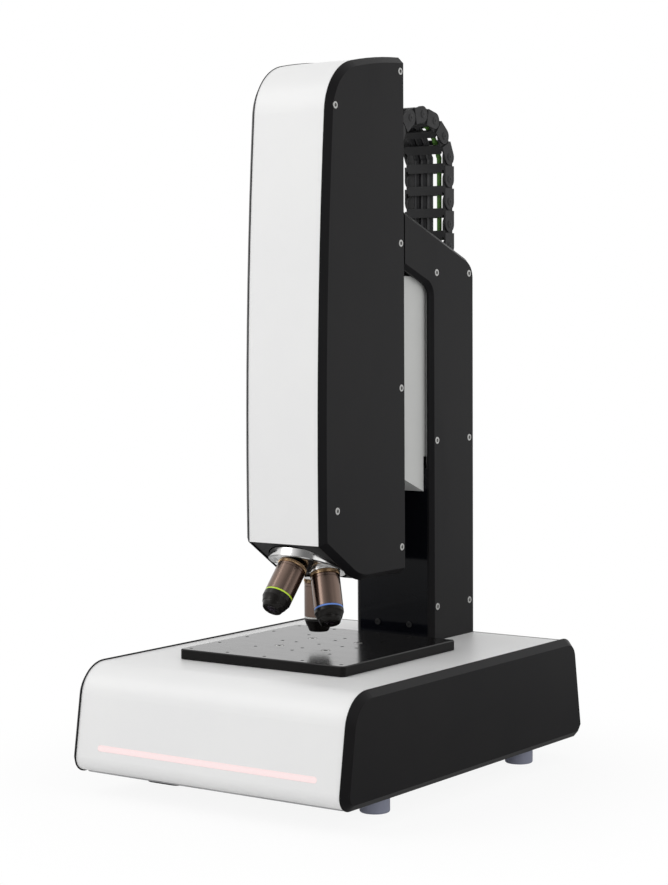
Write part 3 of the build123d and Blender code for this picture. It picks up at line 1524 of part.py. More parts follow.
# Lamp module with cooling fins, in front of the beam splitter
lamp_rear_y = optical_axis_y - splitter_side / 2
with BuildPart() as lamp_module:
    with BuildSketch(Plane.XZ.offset(-lamp_rear_y)):
        with Locations((0, splitter_mid_z)):
            Circle(lamp_radius)
            Circle(lamp_path_radius, mode=Mode.SUBTRACT)
    extrude(amount=lamp_collar)
    with BuildSketch(Plane.XZ.offset(-lamp_rear_y + lamp_collar)):
        with Locations((0, splitter_mid_z)):
            Circle(lamp_core_radius)
    extrude(amount=lamp_length - lamp_collar)
    for fin in range(lamp_fin_count):
        with BuildSketch(Plane.XZ.offset(-lamp_rear_y + lamp_fin_start + fin * 2 * lamp_fin_width)):
            with Locations((0, splitter_mid_z)):
                Circle(lamp_radius)
        extrude(amount=lamp_fin_width)
save(lamp_module, "lamp_module")

# Spinning pinhole disc on its shaft
disc_motor_low_z = mid_shelf_z + shelf_thickness
disc_motor_top_z = disc_motor_low_z + disc_motor_height
disc_outline = [
    (0, disc_motor_top_z - disc_shaft_length),
    (disc_shaft_radius, disc_motor_top_z - disc_shaft_length),
    (disc_shaft_radius, disc_z - disc_hub_height),
    (disc_hub_radius, disc_z - disc_hub_height),
    (disc_hub_radius, disc_z),
    (disc_radius, disc_z),
    (disc_radius, disc_z + disc_thickness),
    (disc_hub_radius, disc_z + disc_thickness),
    (disc_hub_radius - disc_cap_bevel, disc_z + disc_thickness + disc_cap_height),
    (0, disc_z + disc_thickness + disc_cap_height),
]
pinhole_disc = turned((0, disc_centre_y, 0), (0, 0, 1), disc_outline)
save(pinhole_disc, "pinhole_disc")

# Motor of the pinhole disc
disc_motor_outline = [
    (disc_shaft_radius + screw_fit, disc_motor_top_z),
    (disc_motor_radius - disc_motor_bevel, disc_motor_top_z),
    (disc_motor_radius, disc_motor_top_z - disc_motor_bevel),
    (disc_motor_radius, disc_motor_low_z),
    (0, disc_motor_low_z),
    (0, disc_motor_top_z - disc_shaft_length - disc_shaft_gap),
    (disc_shaft_radius + screw_fit, disc_motor_top_z - disc_shaft_length - disc_shaft_gap),
]
disc_motor = turned((0, disc_centre_y, 0), (0, 0, 1), disc_motor_outline)
save(disc_motor, "disc_motor")

# Camera hung from its shelf, looking down through its relay lens
with BuildPart() as camera:
    with BuildSketch(Plane.XY.offset(camera_body_low_z)):
        with Locations((0, optical_axis_y)):
            RectangleRounded(camera_side, camera_side, camera_corner)
    extrude(amount=camera_shelf_z - camera_body_low_z)
    with BuildSketch(Plane.XY.offset(camera_body_low_z)):
        with Locations((0, optical_axis_y)):
            Circle(camera_lens_radius)
    extrude(amount=camera_lens_low_z - camera_body_low_z)
    with BuildSketch(Plane.XY.offset(camera_lens_low_z)):
        with Locations((0, optical_axis_y)):
            Circle(camera_lens_radius - camera_lens_wall)
    extrude(amount=camera_lens_depth, mode=Mode.SUBTRACT)
save(camera, "camera")


def chain_link(frame, holed, pinned):
    """Chain link along local x: half-lapped side plates joined by two crossbars."""
    outer_x = chain_width / 2
    inner_x = outer_x - link_plate
    middle = link_pitch / 2
    solid_length = link_pitch - link_height - 2 * link_swing_gap
    with BuildPart() as link:
        for side in (-1, 1):
            with BuildSketch(frame.offset(side * outer_x)):
                Circle(link_height / 2)
                with Locations((middle / 2, 0)):
                    Rectangle(middle, link_height)
                if holed:
                    Circle(link_pin_radius + screw_fit, mode=Mode.SUBTRACT)
            extrude(amount=-side * link_lap)
            with BuildSketch(frame.offset(side * inner_x)):
                with Locations((link_pitch, 0)):
                    Circle(link_height / 2)
                with Locations((middle + middle / 2, 0)):
                    Rectangle(middle, link_height)
            extrude(amount=side * link_lap)
            with BuildSketch(frame.offset(side * outer_x)):
                with Locations((middle, 0)):
                    Rectangle(solid_length, link_height)
            extrude(amount=-side * link_plate)
            if pinned:
                with BuildSketch(frame.offset(side * inner_x)):
                    with Locations((link_pitch, 0)):
                        Circle(link_pin_radius)
                extrude(amount=side * link_plate)
        for edge in (-1, 1):
            bar_y = edge * (link_height - link_bar_thickness) / 2
            with BuildSketch(frame.offset(-inner_x)):
                with Locations((middle, bar_y)):
                    Rectangle(solid_length, link_bar_thickness)
            extrude(amount=2 * inner_x)
            with BuildSketch(frame.offset(link_lap_gap - inner_x)):
                with Locations((middle, bar_y)):
                    Rectangle(link_bar_width, link_bar_thickness)
            extrude(amount=2 * (inner_x - link_lap_gap))
    return link.part


def chain_piece(pins, first_holed, last_pinned):
    """Run of chain links from pin to pin, each a solid of its own."""
    last = len(pins) - 2
    with BuildPart() as piece:
        for index, (start, end) in enumerate(zip(pins[:-1], pins[1:])):
            along = (0, end[0] - start[0], end[1] - start[1])
            frame = Plane(origin=(0, start[0], start[1]), x_dir=along, z_dir=(1, 0, 0))
            add(chain_link(frame, index > 0 or first_holed, index < last or last_pinned))
    return piece


# Pins of the chain at rest: up behind the column, round the loop and down behind the head
turn_step = radians(180 / chain_turns)
column_pins = [(chain_rear_y, column_anchor_z + link_pitch * index) for index in range(column_link_count + 1)]
loop_pins = [(chain_rear_y, chain_pivot_z)]
for turn in range(1, chain_turns + 1):
    last_y, last_z = loop_pins[-1]
    angle = turn * turn_step
    loop_pins.append((last_y - link_pitch * sin(angle), last_z + link_pitch * cos(angle)))
chain_open_z = chain_pivot_z - link_pitch
head_pins = [(chain_front_y, chain_open_z - link_pitch * index) for index in range(head_link_count + 1)]

chain_column_leg = chain_piece(column_pins, True, True)
save(chain_column_leg, "chain_column_leg")
chain_loop = chain_piece(loop_pins, True, False)
save(chain_loop, "chain_loop")
chain_head_leg = chain_piece(head_pins, False, False)
save(chain_head_leg, "chain_head_leg")

loop_centre_y = (chain_rear_y + chain_front_y) / 2
loop_centre_z = chain_pivot_z - link_pitch / 2
loop_radius = chain_loop_span / 2


def run_radius(radius):
    """Radius of the arc of a cable that rests on the inner crossbars of the loop."""
    bar_face = loop_radius - link_height / 2 + link_bar_thickness
    return hypot(bar_face, link_bar_width / 2) + radius + cable_rest_gap


# Cables in the rear leg: down behind the core and sideways to the socket of the control board
board_socket_x = board_centre_x - board_width / 2
with BuildPart() as column_cables:
    for index, (place, radius) in enumerate(cable_places):
        run_z = cable_floor_z + cable_floor_step * index
        run_y = loop_centre_y + run_radius(radius)
        with BuildLine() as column_path:
            FilletPolyline(
                (place, run_y, chain_pivot_z - cable_end_gap),
                (place, run_y, run_z),
                (board_socket_x, run_y, run_z),
                radius=cable_bend_radius,
            )
        with BuildSketch(Plane(origin=column_path.line @ 0, z_dir=column_path.line % 0)):
            Circle(radius)
        sweep(path=column_path.line)
save(column_cables, "column_cables")

# Cables in the loop: an arc from the pivot over the top and a short straight drop
with BuildPart() as loop_cables:
    for place, radius in cable_places:
        run = run_radius(radius)
        start = asin((link_pitch / 2 + cable_end_gap) / run)
        with BuildLine() as loop_path:
            over = ThreePointArc(
                (place, loop_centre_y + run * cos(start), loop_centre_z + run * sin(start)),
                (place, loop_centre_y, loop_centre_z + run),
                (place, loop_centre_y - run, loop_centre_z),
            )
            Line(over @ 1, (place, loop_centre_y - run, chain_open_z + cable_end_gap))
        with BuildSketch(Plane(origin=loop_path.line @ 0, z_dir=loop_path.line % 0)):
            Circle(radius)
        sweep(path=loop_path.line)
save(loop_cables, "loop_cables")

# Cables in the front leg: down into the lift bracket and forward into the head
with BuildPart() as head_cables:
    for place, radius in cable_places:
        drop_y = loop_centre_y - run_radius(radius)
        with BuildLine() as head_path:
            FilletPolyline(
                (place, drop_y, chain_open_z - cable_end_gap),
                (place, drop_y, head_cable_z),
                (place, head_socket_y, head_cable_z),
                radius=cable_bend_radius,
            )
        with BuildSketch(Plane(origin=head_path.line @ 0, z_dir=head_path.line % 0)):
            Circle(radius)
        sweep(path=head_path.line)
save(head_cables, "head_cables")
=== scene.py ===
"""Looks of an upright confocal microscope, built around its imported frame.

Every piece is in metres, with X to the right, Y to the rear and Z up. The carried-over pieces of the frame
get their finishes here. Screws, objectives, chain caps, cable bends, the levelling pad and the packages on
the board get finer shapes.
"""

import json
import logging
from collections.abc import Callable
from dataclasses import asdict, dataclass, replace
from enum import Enum
from math import copysign, cos, degrees, pi, radians, sin, tan

import bmesh
import bpy
from mathutils import Matrix, Vector


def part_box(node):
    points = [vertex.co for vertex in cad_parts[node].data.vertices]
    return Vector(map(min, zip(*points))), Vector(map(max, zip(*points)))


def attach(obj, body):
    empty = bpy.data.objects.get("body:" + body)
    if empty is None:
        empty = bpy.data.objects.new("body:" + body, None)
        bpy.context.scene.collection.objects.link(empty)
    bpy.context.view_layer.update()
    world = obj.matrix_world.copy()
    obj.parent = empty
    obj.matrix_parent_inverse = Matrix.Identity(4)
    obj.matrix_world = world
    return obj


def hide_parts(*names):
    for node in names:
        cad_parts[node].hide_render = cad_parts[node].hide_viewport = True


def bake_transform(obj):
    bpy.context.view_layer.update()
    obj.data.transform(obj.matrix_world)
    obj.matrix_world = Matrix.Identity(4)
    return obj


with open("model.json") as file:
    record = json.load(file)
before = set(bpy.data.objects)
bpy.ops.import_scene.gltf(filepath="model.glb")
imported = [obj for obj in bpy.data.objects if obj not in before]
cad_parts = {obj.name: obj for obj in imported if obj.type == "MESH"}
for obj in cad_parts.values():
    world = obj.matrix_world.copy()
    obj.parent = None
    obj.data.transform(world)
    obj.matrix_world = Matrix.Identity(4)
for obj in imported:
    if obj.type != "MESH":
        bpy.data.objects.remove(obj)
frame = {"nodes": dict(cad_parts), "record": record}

log = logging.getLogger("microscope")
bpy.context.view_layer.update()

MM = 0.001
WORK_Y = -26.0 * MM
TURRET_APEX_Z = 237.0 * MM
TURRET_TILT = radians(21)

Triple = tuple[float, float, float]
Colour = Triple
Seat = tuple[Vector, Triple]


class Slot(Enum):
    """Material slots of the record."""

    WHITE_PAINT = "white_paint"
    BLACK_ANODISED = "black_anodised"
    BLACK_PAINT = "black_paint"
    GLOSS_BLACK = "gloss_black"
    LIGHT_GREY_PAINT = "light_grey_paint"
    CAST_GREY = "cast_grey"
    ALUMINIUM = "aluminium_milled"
    GROUND_STEEL = "ground_steel"
    STAGE = "stage_anodised"
    SCREW_STEEL = "screw_steel"
    CHROMED = "chromed"
    BARREL = "objective_barrel"
    CHAIN = "chain_plastic"
    JACKETS = "cable_jackets"
    FOOT_RUBBER = "blue_grey_rubber"
    BLACK_RUBBER = "black_rubber"
    BLACK_PLASTIC = "black_plastic"
    BOARD = "board_green"
    GLASS = "lens_glass"
    DISC = "disc_black"
    DIFFUSER = "light_diffuser"


class Band(Enum):
    """Colour rings that tell the objectives apart."""

    WHITE = (0.78, 0.78, 0.76)
    BLUE = (0.10, 0.22, 0.62)
    GREEN = (0.50, 0.72, 0.03)


def operator_method(operation: str, reflected: bool = False) -> Callable[["Term", "Term | float"], "Term"]:
    """Make the method behind one of Python's operators on terms.

    Args:
        operation: the Math node's operation.
        reflected: True where the term stands to the right of the operator.

    Returns:
        A method that works out the operation on a term and another value.
    """
    def work_out(term: "Term", other: "Term | float") -> "Term":
        """Work out the operation by a Math node."""
        pair = (other, term) if reflected else (term, other)
        return term.graph.maths(operation, *pair)

    return work_out


class Term:
    """A number given by a node, with Python's operators on it."""

    def __init__(self, graph: "Graph", socket: bpy.types.NodeSocket) -> None:
        """Wrap one output socket of a graph."""
        self.graph = graph
        self.socket = socket

    __add__ = __radd__ = operator_method("ADD")
    __sub__ = operator_method("SUBTRACT")
    __rsub__ = operator_method("SUBTRACT", reflected=True)
    __mul__ = __rmul__ = operator_method("MULTIPLY")
    __truediv__ = operator_method("DIVIDE")
    __rtruediv__ = operator_method("DIVIDE", reflected=True)
    __gt__ = operator_method("GREATER_THAN")
    __lt__ = operator_method("LESS_THAN")
    __mod__ = operator_method("FLOORED_MODULO")

    def __abs__(self) -> "Term":
        """Size without its sign."""
        return self.graph.maths("ABSOLUTE", self)

    def sine(self) -> "Term":
        """Sine of an angle in radians."""
        return self.graph.maths("SINE", self)

    def cosine(self) -> "Term":
        """Cosine of an angle in radians."""
        return self.graph.maths("COSINE", self)

    def root(self) -> "Term":
        """Square root."""
        return self.graph.maths("SQRT", self)

    def angle_to(self, other: "Term") -> "Term":
        """Angle of the point with this term up and the other across."""
        return self.graph.maths("ARCTAN2", self, other)

    def between(self, low: float, high: float) -> "Term":
        """Step smoothly from nought to one.

        Args:
            low: value up to which the step is nought.
            high: value from which it is one.

        Returns:
            The step as a term.
        """
        sockets = {"Value": self, "From Min": low, "From Max": high}
        made = self.graph.node("ShaderNodeMapRange", {"interpolation_type": "SMOOTHSTEP"}, sockets)
        return Term(self.graph, made.outputs["Result"])


class Graph:
    """A node tree whose nodes are all made by one method."""

    def __init__(self, tree: bpy.types.NodeTree) -> None:
        """Work on a tree."""
        self.tree = tree

    def node(self, kind: str, settings: dict[str, object], sockets: dict[object, object]) -> bpy.types.Node:
        """Make a node.

        Args:
            kind: the node's type name.
            settings: its properties, set before its sockets.
            sockets: the value or the link of each input, by name or number.

        Returns:
            The new node.
        """
        made = self.tree.nodes.new(kind)
        for name, value in settings.items():
            setattr(made, name, value)
        for name, value in sockets.items():
            target = made.inputs[name]
            if isinstance(value, Term):
                self.tree.links.new(value.socket, target)
            elif isinstance(value, bpy.types.NodeSocket):
                self.tree.links.new(value, target)
            else:
                target.default_value = value
        return made

    def maths(self, operation: str, *values: "Term | float") -> Term:
        """Work out one operation on numbers."""
        made = self.node("ShaderNodeMath", {"operation": operation}, dict(enumerate(values)))
        return Term(self, made.outputs[0])

    def parts(self, vector: bpy.types.NodeSocket) -> tuple[Term, Term, Term]:
        """Split a vector into its three numbers."""
        made = self.node("ShaderNodeSeparateXYZ", {}, {0: vector})
        return Term(self, made.outputs[0]), Term(self, made.outputs[1]), Term(self, made.outputs[2])


class ShaderGraph(Graph):
    """The node tree of one material, with the patterns that finishes share."""

    def __init__(self, name: str) -> None:
        """Start an empty material.

        Args:
            name: the material's name.
        """
        self.material = bpy.data.materials.new(name)
        self.material.use_nodes = True
        self.material.node_tree.nodes.clear()
        super().__init__(self.material.node_tree)
        self.place = self.node("ShaderNodeTexCoord", {}, {}).outputs["Object"]

    def stretched(self, scale: Triple, turn: Triple = (0.0, 0.0, 0.0)) -> bpy.types.NodeSocket:
        """Object coordinates, turned and scaled by axis."""
        sockets = {"Vector": self.place, "Scale": scale, "Rotation": turn}
        return self.node("ShaderNodeMapping", {}, sockets).outputs[0]

    def noise(self, scale: float, detail: float = 3.0, place: bpy.types.NodeSocket | None = None) -> Term:
        """Soft noise from nought to one.

        Args:
            scale: blotches in a metre.
            detail: octaves of finer noise.
            place: coordinates, the object's own if left out.

        Returns:
            The noise as a term.
        """
        sockets = {"Vector": place or self.place, "Scale": scale, "Detail": detail, "Roughness": 0.55}
        return Term(self, self.node("ShaderNodeTexNoise", {}, sockets).outputs[0])

    def cells(self, scale: float, place: bpy.types.NodeSocket | None = None) -> Term:
        """Distance to the nearest of many scattered points."""
        sockets = {"Vector": place or self.place, "Scale": scale}
        return Term(self, self.node("ShaderNodeTexVoronoi", {}, sockets).outputs["Distance"])

    def mix(self, share: Term, first: object, second: object) -> bpy.types.NodeSocket:
        """Blend two colours.

        Args:
            share: nought where the first shows, one where the second does.
            first: a colour, or the link that gives it.
            second: the other colour or link.

        Returns:
            The link that gives the blend.
        """
        pair = [
            value if isinstance(value, bpy.types.NodeSocket) else (*value, 1.0)
            for value in (first, second)
        ]
        made = self.node("ShaderNodeMix", {"data_type": "RGBA"}, {0: share, 6: pair[0], 7: pair[1]})
        return made.outputs[2]

    def bump(self, height: Term, depth: float, strength: float = 1.0) -> bpy.types.NodeSocket:
        """Normal of a relief of that depth in metres."""
        sockets = {"Height": height, "Distance": depth, "Strength": strength}
        return self.node("ShaderNodeBump", {}, sockets).outputs[0]

    def surface(self, sockets: dict[str, object]) -> bpy.types.Material:
        """Close the material with one shader.

        Args:
            sockets: values and links of the Principled shader, by socket name.

        Returns:
            The finished material.
        """
        shader = self.node("ShaderNodeBsdfPrincipled", {}, sockets)
        self.node("ShaderNodeOutputMaterial", {}, {"Surface": shader.outputs[0]})
        return self.material

    def two_surfaces(self, share: Term, first: dict[str, object],
                     second: dict[str, object]) -> bpy.types.Material:
        """Close the material with two shaders.

        Args:
            share: nought where the first shows, one where the second does.
            first: values and links of the first Principled shader.
            second: values and links of the second one.

        Returns:
            The finished material.
        """
        pair = [self.node("ShaderNodeBsdfPrincipled", {}, sockets).outputs[0] for sockets in (first, second)]
        mixed = self.node("ShaderNodeMixShader", {}, {0: share, 1: pair[0], 2: pair[1]})
        self.node("ShaderNodeOutputMaterial", {}, {"Surface": mixed.outputs[0]})
        return self.material


@dataclass(frozen=True)
class Paint:
    """Baked paint with a faint orange peel and slight cloudiness."""

    name: str
    colour: Colour
    shade: Colour
    roughness: float
    peel: float = 0.03 * MM
    coat: float = 0.15
    gloss: float = 0.5
    cloud_scale: float = 9.0
    cloud_swing: float = 0.06
    grain_scale: float = 1400.0
    grain_swing: float = 0.10
    coat_roughness: float = 0.35

    def build(self) -> bpy.types.Material:
        """Make the material.

        Returns:
            The material of this finish.
        """
        graph = ShaderGraph(self.name)
        cloud = graph.noise(self.cloud_scale, 4.0)
        grain = graph.noise(self.grain_scale, 2.0)
        rough = self.roughness + (grain - 0.5) * self.grain_swing + (cloud - 0.5) * self.cloud_swing
        return graph.surface({
            "Base Color": graph.mix(cloud.between(0.25, 0.8), self.shade, self.colour),
            "Roughness": rough,
            "Coat Weight": self.coat,
            "Coat Roughness": self.coat_roughness,
            "Specular IOR Level": self.gloss,
            "Normal": graph.bump(grain, self.peel, 0.5),
        })


@dataclass(frozen=True)
class Anodised:
    """Bead-blasted and anodised aluminium: dark, with a fine sparkle and a few handling marks."""

    name: str
    colour: Colour
    bloom: Colour
    roughness: float
    blast: float = 0.02 * MM
    metal: float = 0.0
    gloss: float = 0.22
    blast_scale: float = 3200.0
    blast_swing: float = 0.12
    cloud_scale: float = 6.0
    smear_scale: float = 14.0
    smear_stretch: Triple = (1.0, 1.0, 0.25)
    smear_swing: float = 0.05

    def build(self) -> bpy.types.Material:
        """Make the material.

        Returns:
            The material of this finish.
        """
        graph = ShaderGraph(self.name)
        blast = graph.noise(self.blast_scale, 2.0)
        cloud = graph.noise(self.cloud_scale, 3.0)
        smear = graph.noise(self.smear_scale, 5.0, graph.stretched(self.smear_stretch))
        rough = self.roughness + (blast - 0.5) * self.blast_swing
        return graph.surface({
            "Base Color": graph.mix(cloud.between(0.3, 0.75), self.colour, self.bloom),
            "Metallic": self.metal,
            "Roughness": rough + smear.between(0.55, 0.75) * self.smear_swing,
            "Specular IOR Level": self.gloss,
            "Normal": graph.bump(blast, self.blast, 0.6),
        })


@dataclass(frozen=True)
class BrushedMetal:
    """Bare metal with fine lines from grinding or milling along one direction."""

    name: str
    colour: Colour
    roughness: float
    stretch: Triple = (60.0, 4000.0, 60.0)
    line_depth: float = 0.02 * MM
    line_shade: float = 0.78
    line_swing: float = 0.15
    cloud_scale: float = 30.0
    cloud_swing: float = 0.08

    def build(self) -> bpy.types.Material:
        """Make the material.

        Returns:
            The material of this finish.
        """
        graph = ShaderGraph(self.name)
        lines = graph.noise(1.0, 4.0, graph.stretched(self.stretch))
        cloud = graph.noise(self.cloud_scale, 3.0)
        darker = tuple(self.line_shade * part for part in self.colour)
        rough = self.roughness + (lines - 0.5) * self.line_swing + (cloud - 0.5) * self.cloud_swing
        return graph.surface({
            "Base Color": graph.mix(lines.between(0.3, 0.7), darker, self.colour),
            "Metallic": 1.0,
            "Roughness": rough,
            "Normal": graph.bump(lines, self.line_depth, 0.5),
        })


@dataclass(frozen=True)
class Threaded:
    """Ground steel screw whose thread winds round one axis of the object, with painted shade darkening its
    grooves.
    """

    name: str
    axis: int
    centre: tuple[float, float]
    colour: Colour = (0.55, 0.55, 0.56)
    roughness: float = 0.25
    pitch: float = 2.0 * MM
    starts: int = 5
    depth: float = 0.6 * MM
    groove_painted_shade: float = 0.35
    groove_swing: float = 0.2

    def build(self) -> bpy.types.Material:
        """Make the material.

        Returns:
            The material of this finish.
        """
        graph = ShaderGraph(self.name)
        place = graph.parts(graph.place)
        across = [place[index] for index in range(3) if index != self.axis]
        turn = (across[0] - self.centre[0]).angle_to(across[1] - self.centre[1])
        phase = place[self.axis] * (2 * pi / self.pitch) + turn * self.starts
        ridge = (phase.sine() * 0.5 + 0.5).between(0.15, 0.85)
        # Grooves painted darker than the ridges: painted shade in the thread.
        groove = tuple(self.groove_painted_shade * part for part in self.colour)
        return graph.surface({
            "Base Color": graph.mix(ridge, groove, self.colour),
            "Metallic": 1.0,
            "Roughness": self.roughness + (1 - ridge) * self.groove_swing,
            "Normal": graph.bump(ridge, self.depth),
        })


@dataclass(frozen=True)
class Chromed:
    """Polished and chromed metal with faint turning lines."""

    name: str
    colour: Colour
    roughness: float
    haze_scale: float = 45.0
    haze_shade: float = 0.9
    haze_swing: float = 0.05
    line_scale: float = 900.0
    line_depth: float = 0.01 * MM

    def build(self) -> bpy.types.Material:
        """Make the material.

        Returns:
            The material of this finish.
        """
        graph = ShaderGraph(self.name)
        haze = graph.noise(self.haze_scale, 4.0)
        lines = graph.noise(self.line_scale, 2.0)
        darker = tuple(self.haze_shade * part for part in self.colour)
        return graph.surface({
            "Base Color": graph.mix(haze.between(0.3, 0.7), darker, self.colour),
            "Metallic": 1.0,
            "Roughness": self.roughness + haze * self.haze_swing,
            "Normal": graph.bump(lines, self.line_depth, 0.3),
        })


@dataclass(frozen=True)
class Moulded:
    """Moulded plastic or rubber with a spark-eroded texture."""

    name: str
    colour: Colour
    dust: Colour
    roughness: float
    grain_scale: float = 1800.0
    grain_depth: float = 0.06 * MM
    grain_swing: float = 0.2
    gloss: float = 0.5
    dust_scale: float = 25.0

    def build(self) -> bpy.types.Material:
        """Make the material.

        Returns:
            The material of this finish.
        """
        graph = ShaderGraph(self.name)
        grain = graph.noise(self.grain_scale, 3.0)
        cloud = graph.noise(self.dust_scale, 4.0)
        return graph.surface({
            "Base Color": graph.mix(cloud.between(0.45, 0.8), self.colour, self.dust),
            "Roughness": self.roughness + (grain - 0.5) * self.grain_swing,
            "Specular IOR Level": self.gloss,
            "Normal": graph.bump(grain, self.grain_depth, 0.6),
        })


@dataclass(frozen=True)
class Jackets:
    """Jackets of the cables that lie side by side in the chain, told apart by their places across it."""

    name: str
    dark: Colour = (0.015, 0.015, 0.017)
    grey: Colour = (0.035, 0.035, 0.037)
    green: Colour = (0.07, 0.20, 0.02)
    grey_from: float = 0.2 * MM
    green_from: float = 8.0 * MM
    run_top: float = 94.0 * MM
    roughness: float = 0.45
    grain_scale: float = 1500.0
    grain_swing: float = 0.15
    grain_depth: float = 0.05 * MM

    def build(self) -> bpy.types.Material:
        """Make the material.

        Returns:
            The material of this finish.
        """
        graph = ShaderGraph(self.name)
        across, _, up = graph.parts(graph.place)
        in_chain = up > self.run_top
        grain = graph.noise(self.grain_scale, 2.0)
        colour = graph.mix((across > self.grey_from) * in_chain, self.dark, self.grey)
        colour = graph.mix((across > self.green_from) * in_chain, colour, self.green)
        return graph.surface({
            "Base Color": colour,
            "Roughness": self.roughness + grain * self.grain_swing,
            "Normal": graph.bump(grain, self.grain_depth, 0.4),
        })


@dataclass(frozen=True)
class CircuitBoard:
    """Green solder mask with raised tracks and tinned pads."""

    name: str
    mask: Colour = (0.012, 0.11, 0.045)
    track: Colour = (0.02, 0.19, 0.07)
    tin: Colour = (0.55, 0.55, 0.52)
    roughness: float = 0.35
    track_pitch: float = 1.8 * MM
    track_half_share: float = 0.16
    track_relief: float = 0.08 * MM
    wander_scale: float = 60.0
    wander: float = 6.0 * MM
    bare_scale: float = 90.0
    bare_below: float = 0.45
    pad_scale: float = 260.0
    pad_reach: float = 0.18

    def build(self) -> bpy.types.Material:
        """Make the material.

        Returns:
            The material of this finish.
        """
        graph = ShaderGraph(self.name)
        across, _, _ = graph.parts(graph.place)
        wander = graph.noise(self.wander_scale, 1.0) * self.wander
        lane = abs(((across + wander) % self.track_pitch) / self.track_pitch - 0.5)
        tracks = (lane < self.track_half_share) * (graph.noise(self.bare_scale, 1.0) > self.bare_below)
        pads = graph.cells(self.pad_scale) < self.pad_reach
        colour = graph.mix(tracks, self.mask, self.track)
        return graph.surface({
            "Base Color": graph.mix(pads, colour, self.tin),
            "Metallic": pads * 0.9,
            "Roughness": self.roughness + pads * 0.1,
            "Normal": graph.bump(tracks + pads, self.track_relief, 0.8),
        })


@dataclass(frozen=True)
class OpticalGlass:
    """Coated lens glass with a faint violet sheen and a trace of dust."""

    name: str
    tint: Colour = (0.90, 0.94, 1.0)
    sheen: Colour = (0.62, 0.60, 0.95)
    sheen_scale: float = 60.0
    roughness: float = 0.02
    dust_scale: float = 700.0
    dust_swing: float = 0.06
    clearness: float = 0.8
    refraction: float = 1.52

    def build(self) -> bpy.types.Material:
        """Make the material.

        Returns:
            The material of this finish.
        """
        graph = ShaderGraph(self.name)
        dust = graph.noise(self.dust_scale, 3.0)
        coating = graph.noise(self.sheen_scale, 2.0).between(0.3, 0.7)
        return graph.surface({
            "Base Color": graph.mix(coating, self.tint, self.sheen),
            "Roughness": self.roughness + dust.between(0.6, 0.8) * self.dust_swing,
            "Transmission Weight": self.clearness,
            "IOR": self.refraction,
        })


@dataclass(frozen=True)
class PinholeDisc:
    """Blackened glass disc with fine pinholes in spiral arms round its hub."""

    name: str
    centre: tuple[float, float]
    colour: Colour = (0.02, 0.02, 0.022)
    hole: Colour = (0.55, 0.57, 0.6)
    roughness: float = 0.12
    hole_swing: float = 0.3
    hole_depth: float = 0.05 * MM
    arms: int = 12
    arm_twist: float = 900.0
    arm_above: float = 0.75
    ring_pitch: float = 1.2 * MM
    ring_above: float = 0.6
    inner: float = 13.0 * MM
    outer: float = 31.0 * MM

    def build(self) -> bpy.types.Material:
        """Make the material.

        Returns:
            The material of this finish.
        """
        graph = ShaderGraph(self.name)
        across, along, _ = graph.parts(graph.place)
        east = across - self.centre[0]
        north = along - self.centre[1]
        radius = (east * east + north * north).root()
        turn = north.angle_to(east)
        arm = (turn * self.arms + radius * self.arm_twist).sine()
        ring = (radius * (2 * pi / self.ring_pitch)).sine()
        drilled = (radius > self.inner) * (radius < self.outer)
        holes = (arm > self.arm_above) * (ring > self.ring_above) * drilled
        return graph.surface({
            "Base Color": graph.mix(holes, self.colour, self.hole),
            "Roughness": self.roughness + holes * self.hole_swing,
            "Normal": graph.bump(1 - holes, self.hole_depth, 0.5),
        })


@dataclass(frozen=True)
class LitDiffuser:
    """Frosted strip with light behind it, whiter in the middle of its height."""

    name: str
    core: Colour
    edge: Colour
    strength: float
    centre_z: float = 44.0 * MM
    half_height: float = 2.6 * MM
    unlit: Colour = (0.42, 0.30, 0.30)
    unlit_shade: Colour = (0.46, 0.33, 0.33)
    core_share: float = 0.25
    edge_glow: float = 0.75
    bead_pitch: float = 9.0 * MM
    bead_glow: float = 0.18
    roughness: float = 0.35
    grain_scale: float = 1200.0
    grain_swing: float = 0.1
    grain_depth: float = 0.03 * MM

    def build(self) -> bpy.types.Material:
        """Make the material.

        Returns:
            The material of this finish.
        """
        graph = ShaderGraph(self.name)
        across, _, up = graph.parts(graph.place)
        off_centre = abs(up - self.centre_z).between(self.core_share * self.half_height, self.half_height)
        beads = (across * (2 * pi / self.bead_pitch)).cosine() * 0.5 + 0.5
        grain = graph.noise(self.grain_scale, 2.0)
        glow = graph.mix(off_centre * self.edge_glow + beads * self.bead_glow, self.core, self.edge)
        return graph.surface({
            "Base Color": graph.mix(grain, self.unlit, self.unlit_shade),
            "Roughness": self.roughness + grain * self.grain_swing,
            "Emission Color": glow,
            "Emission Strength": self.strength,
            "Normal": graph.bump(grain, self.grain_depth, 0.4),
        })


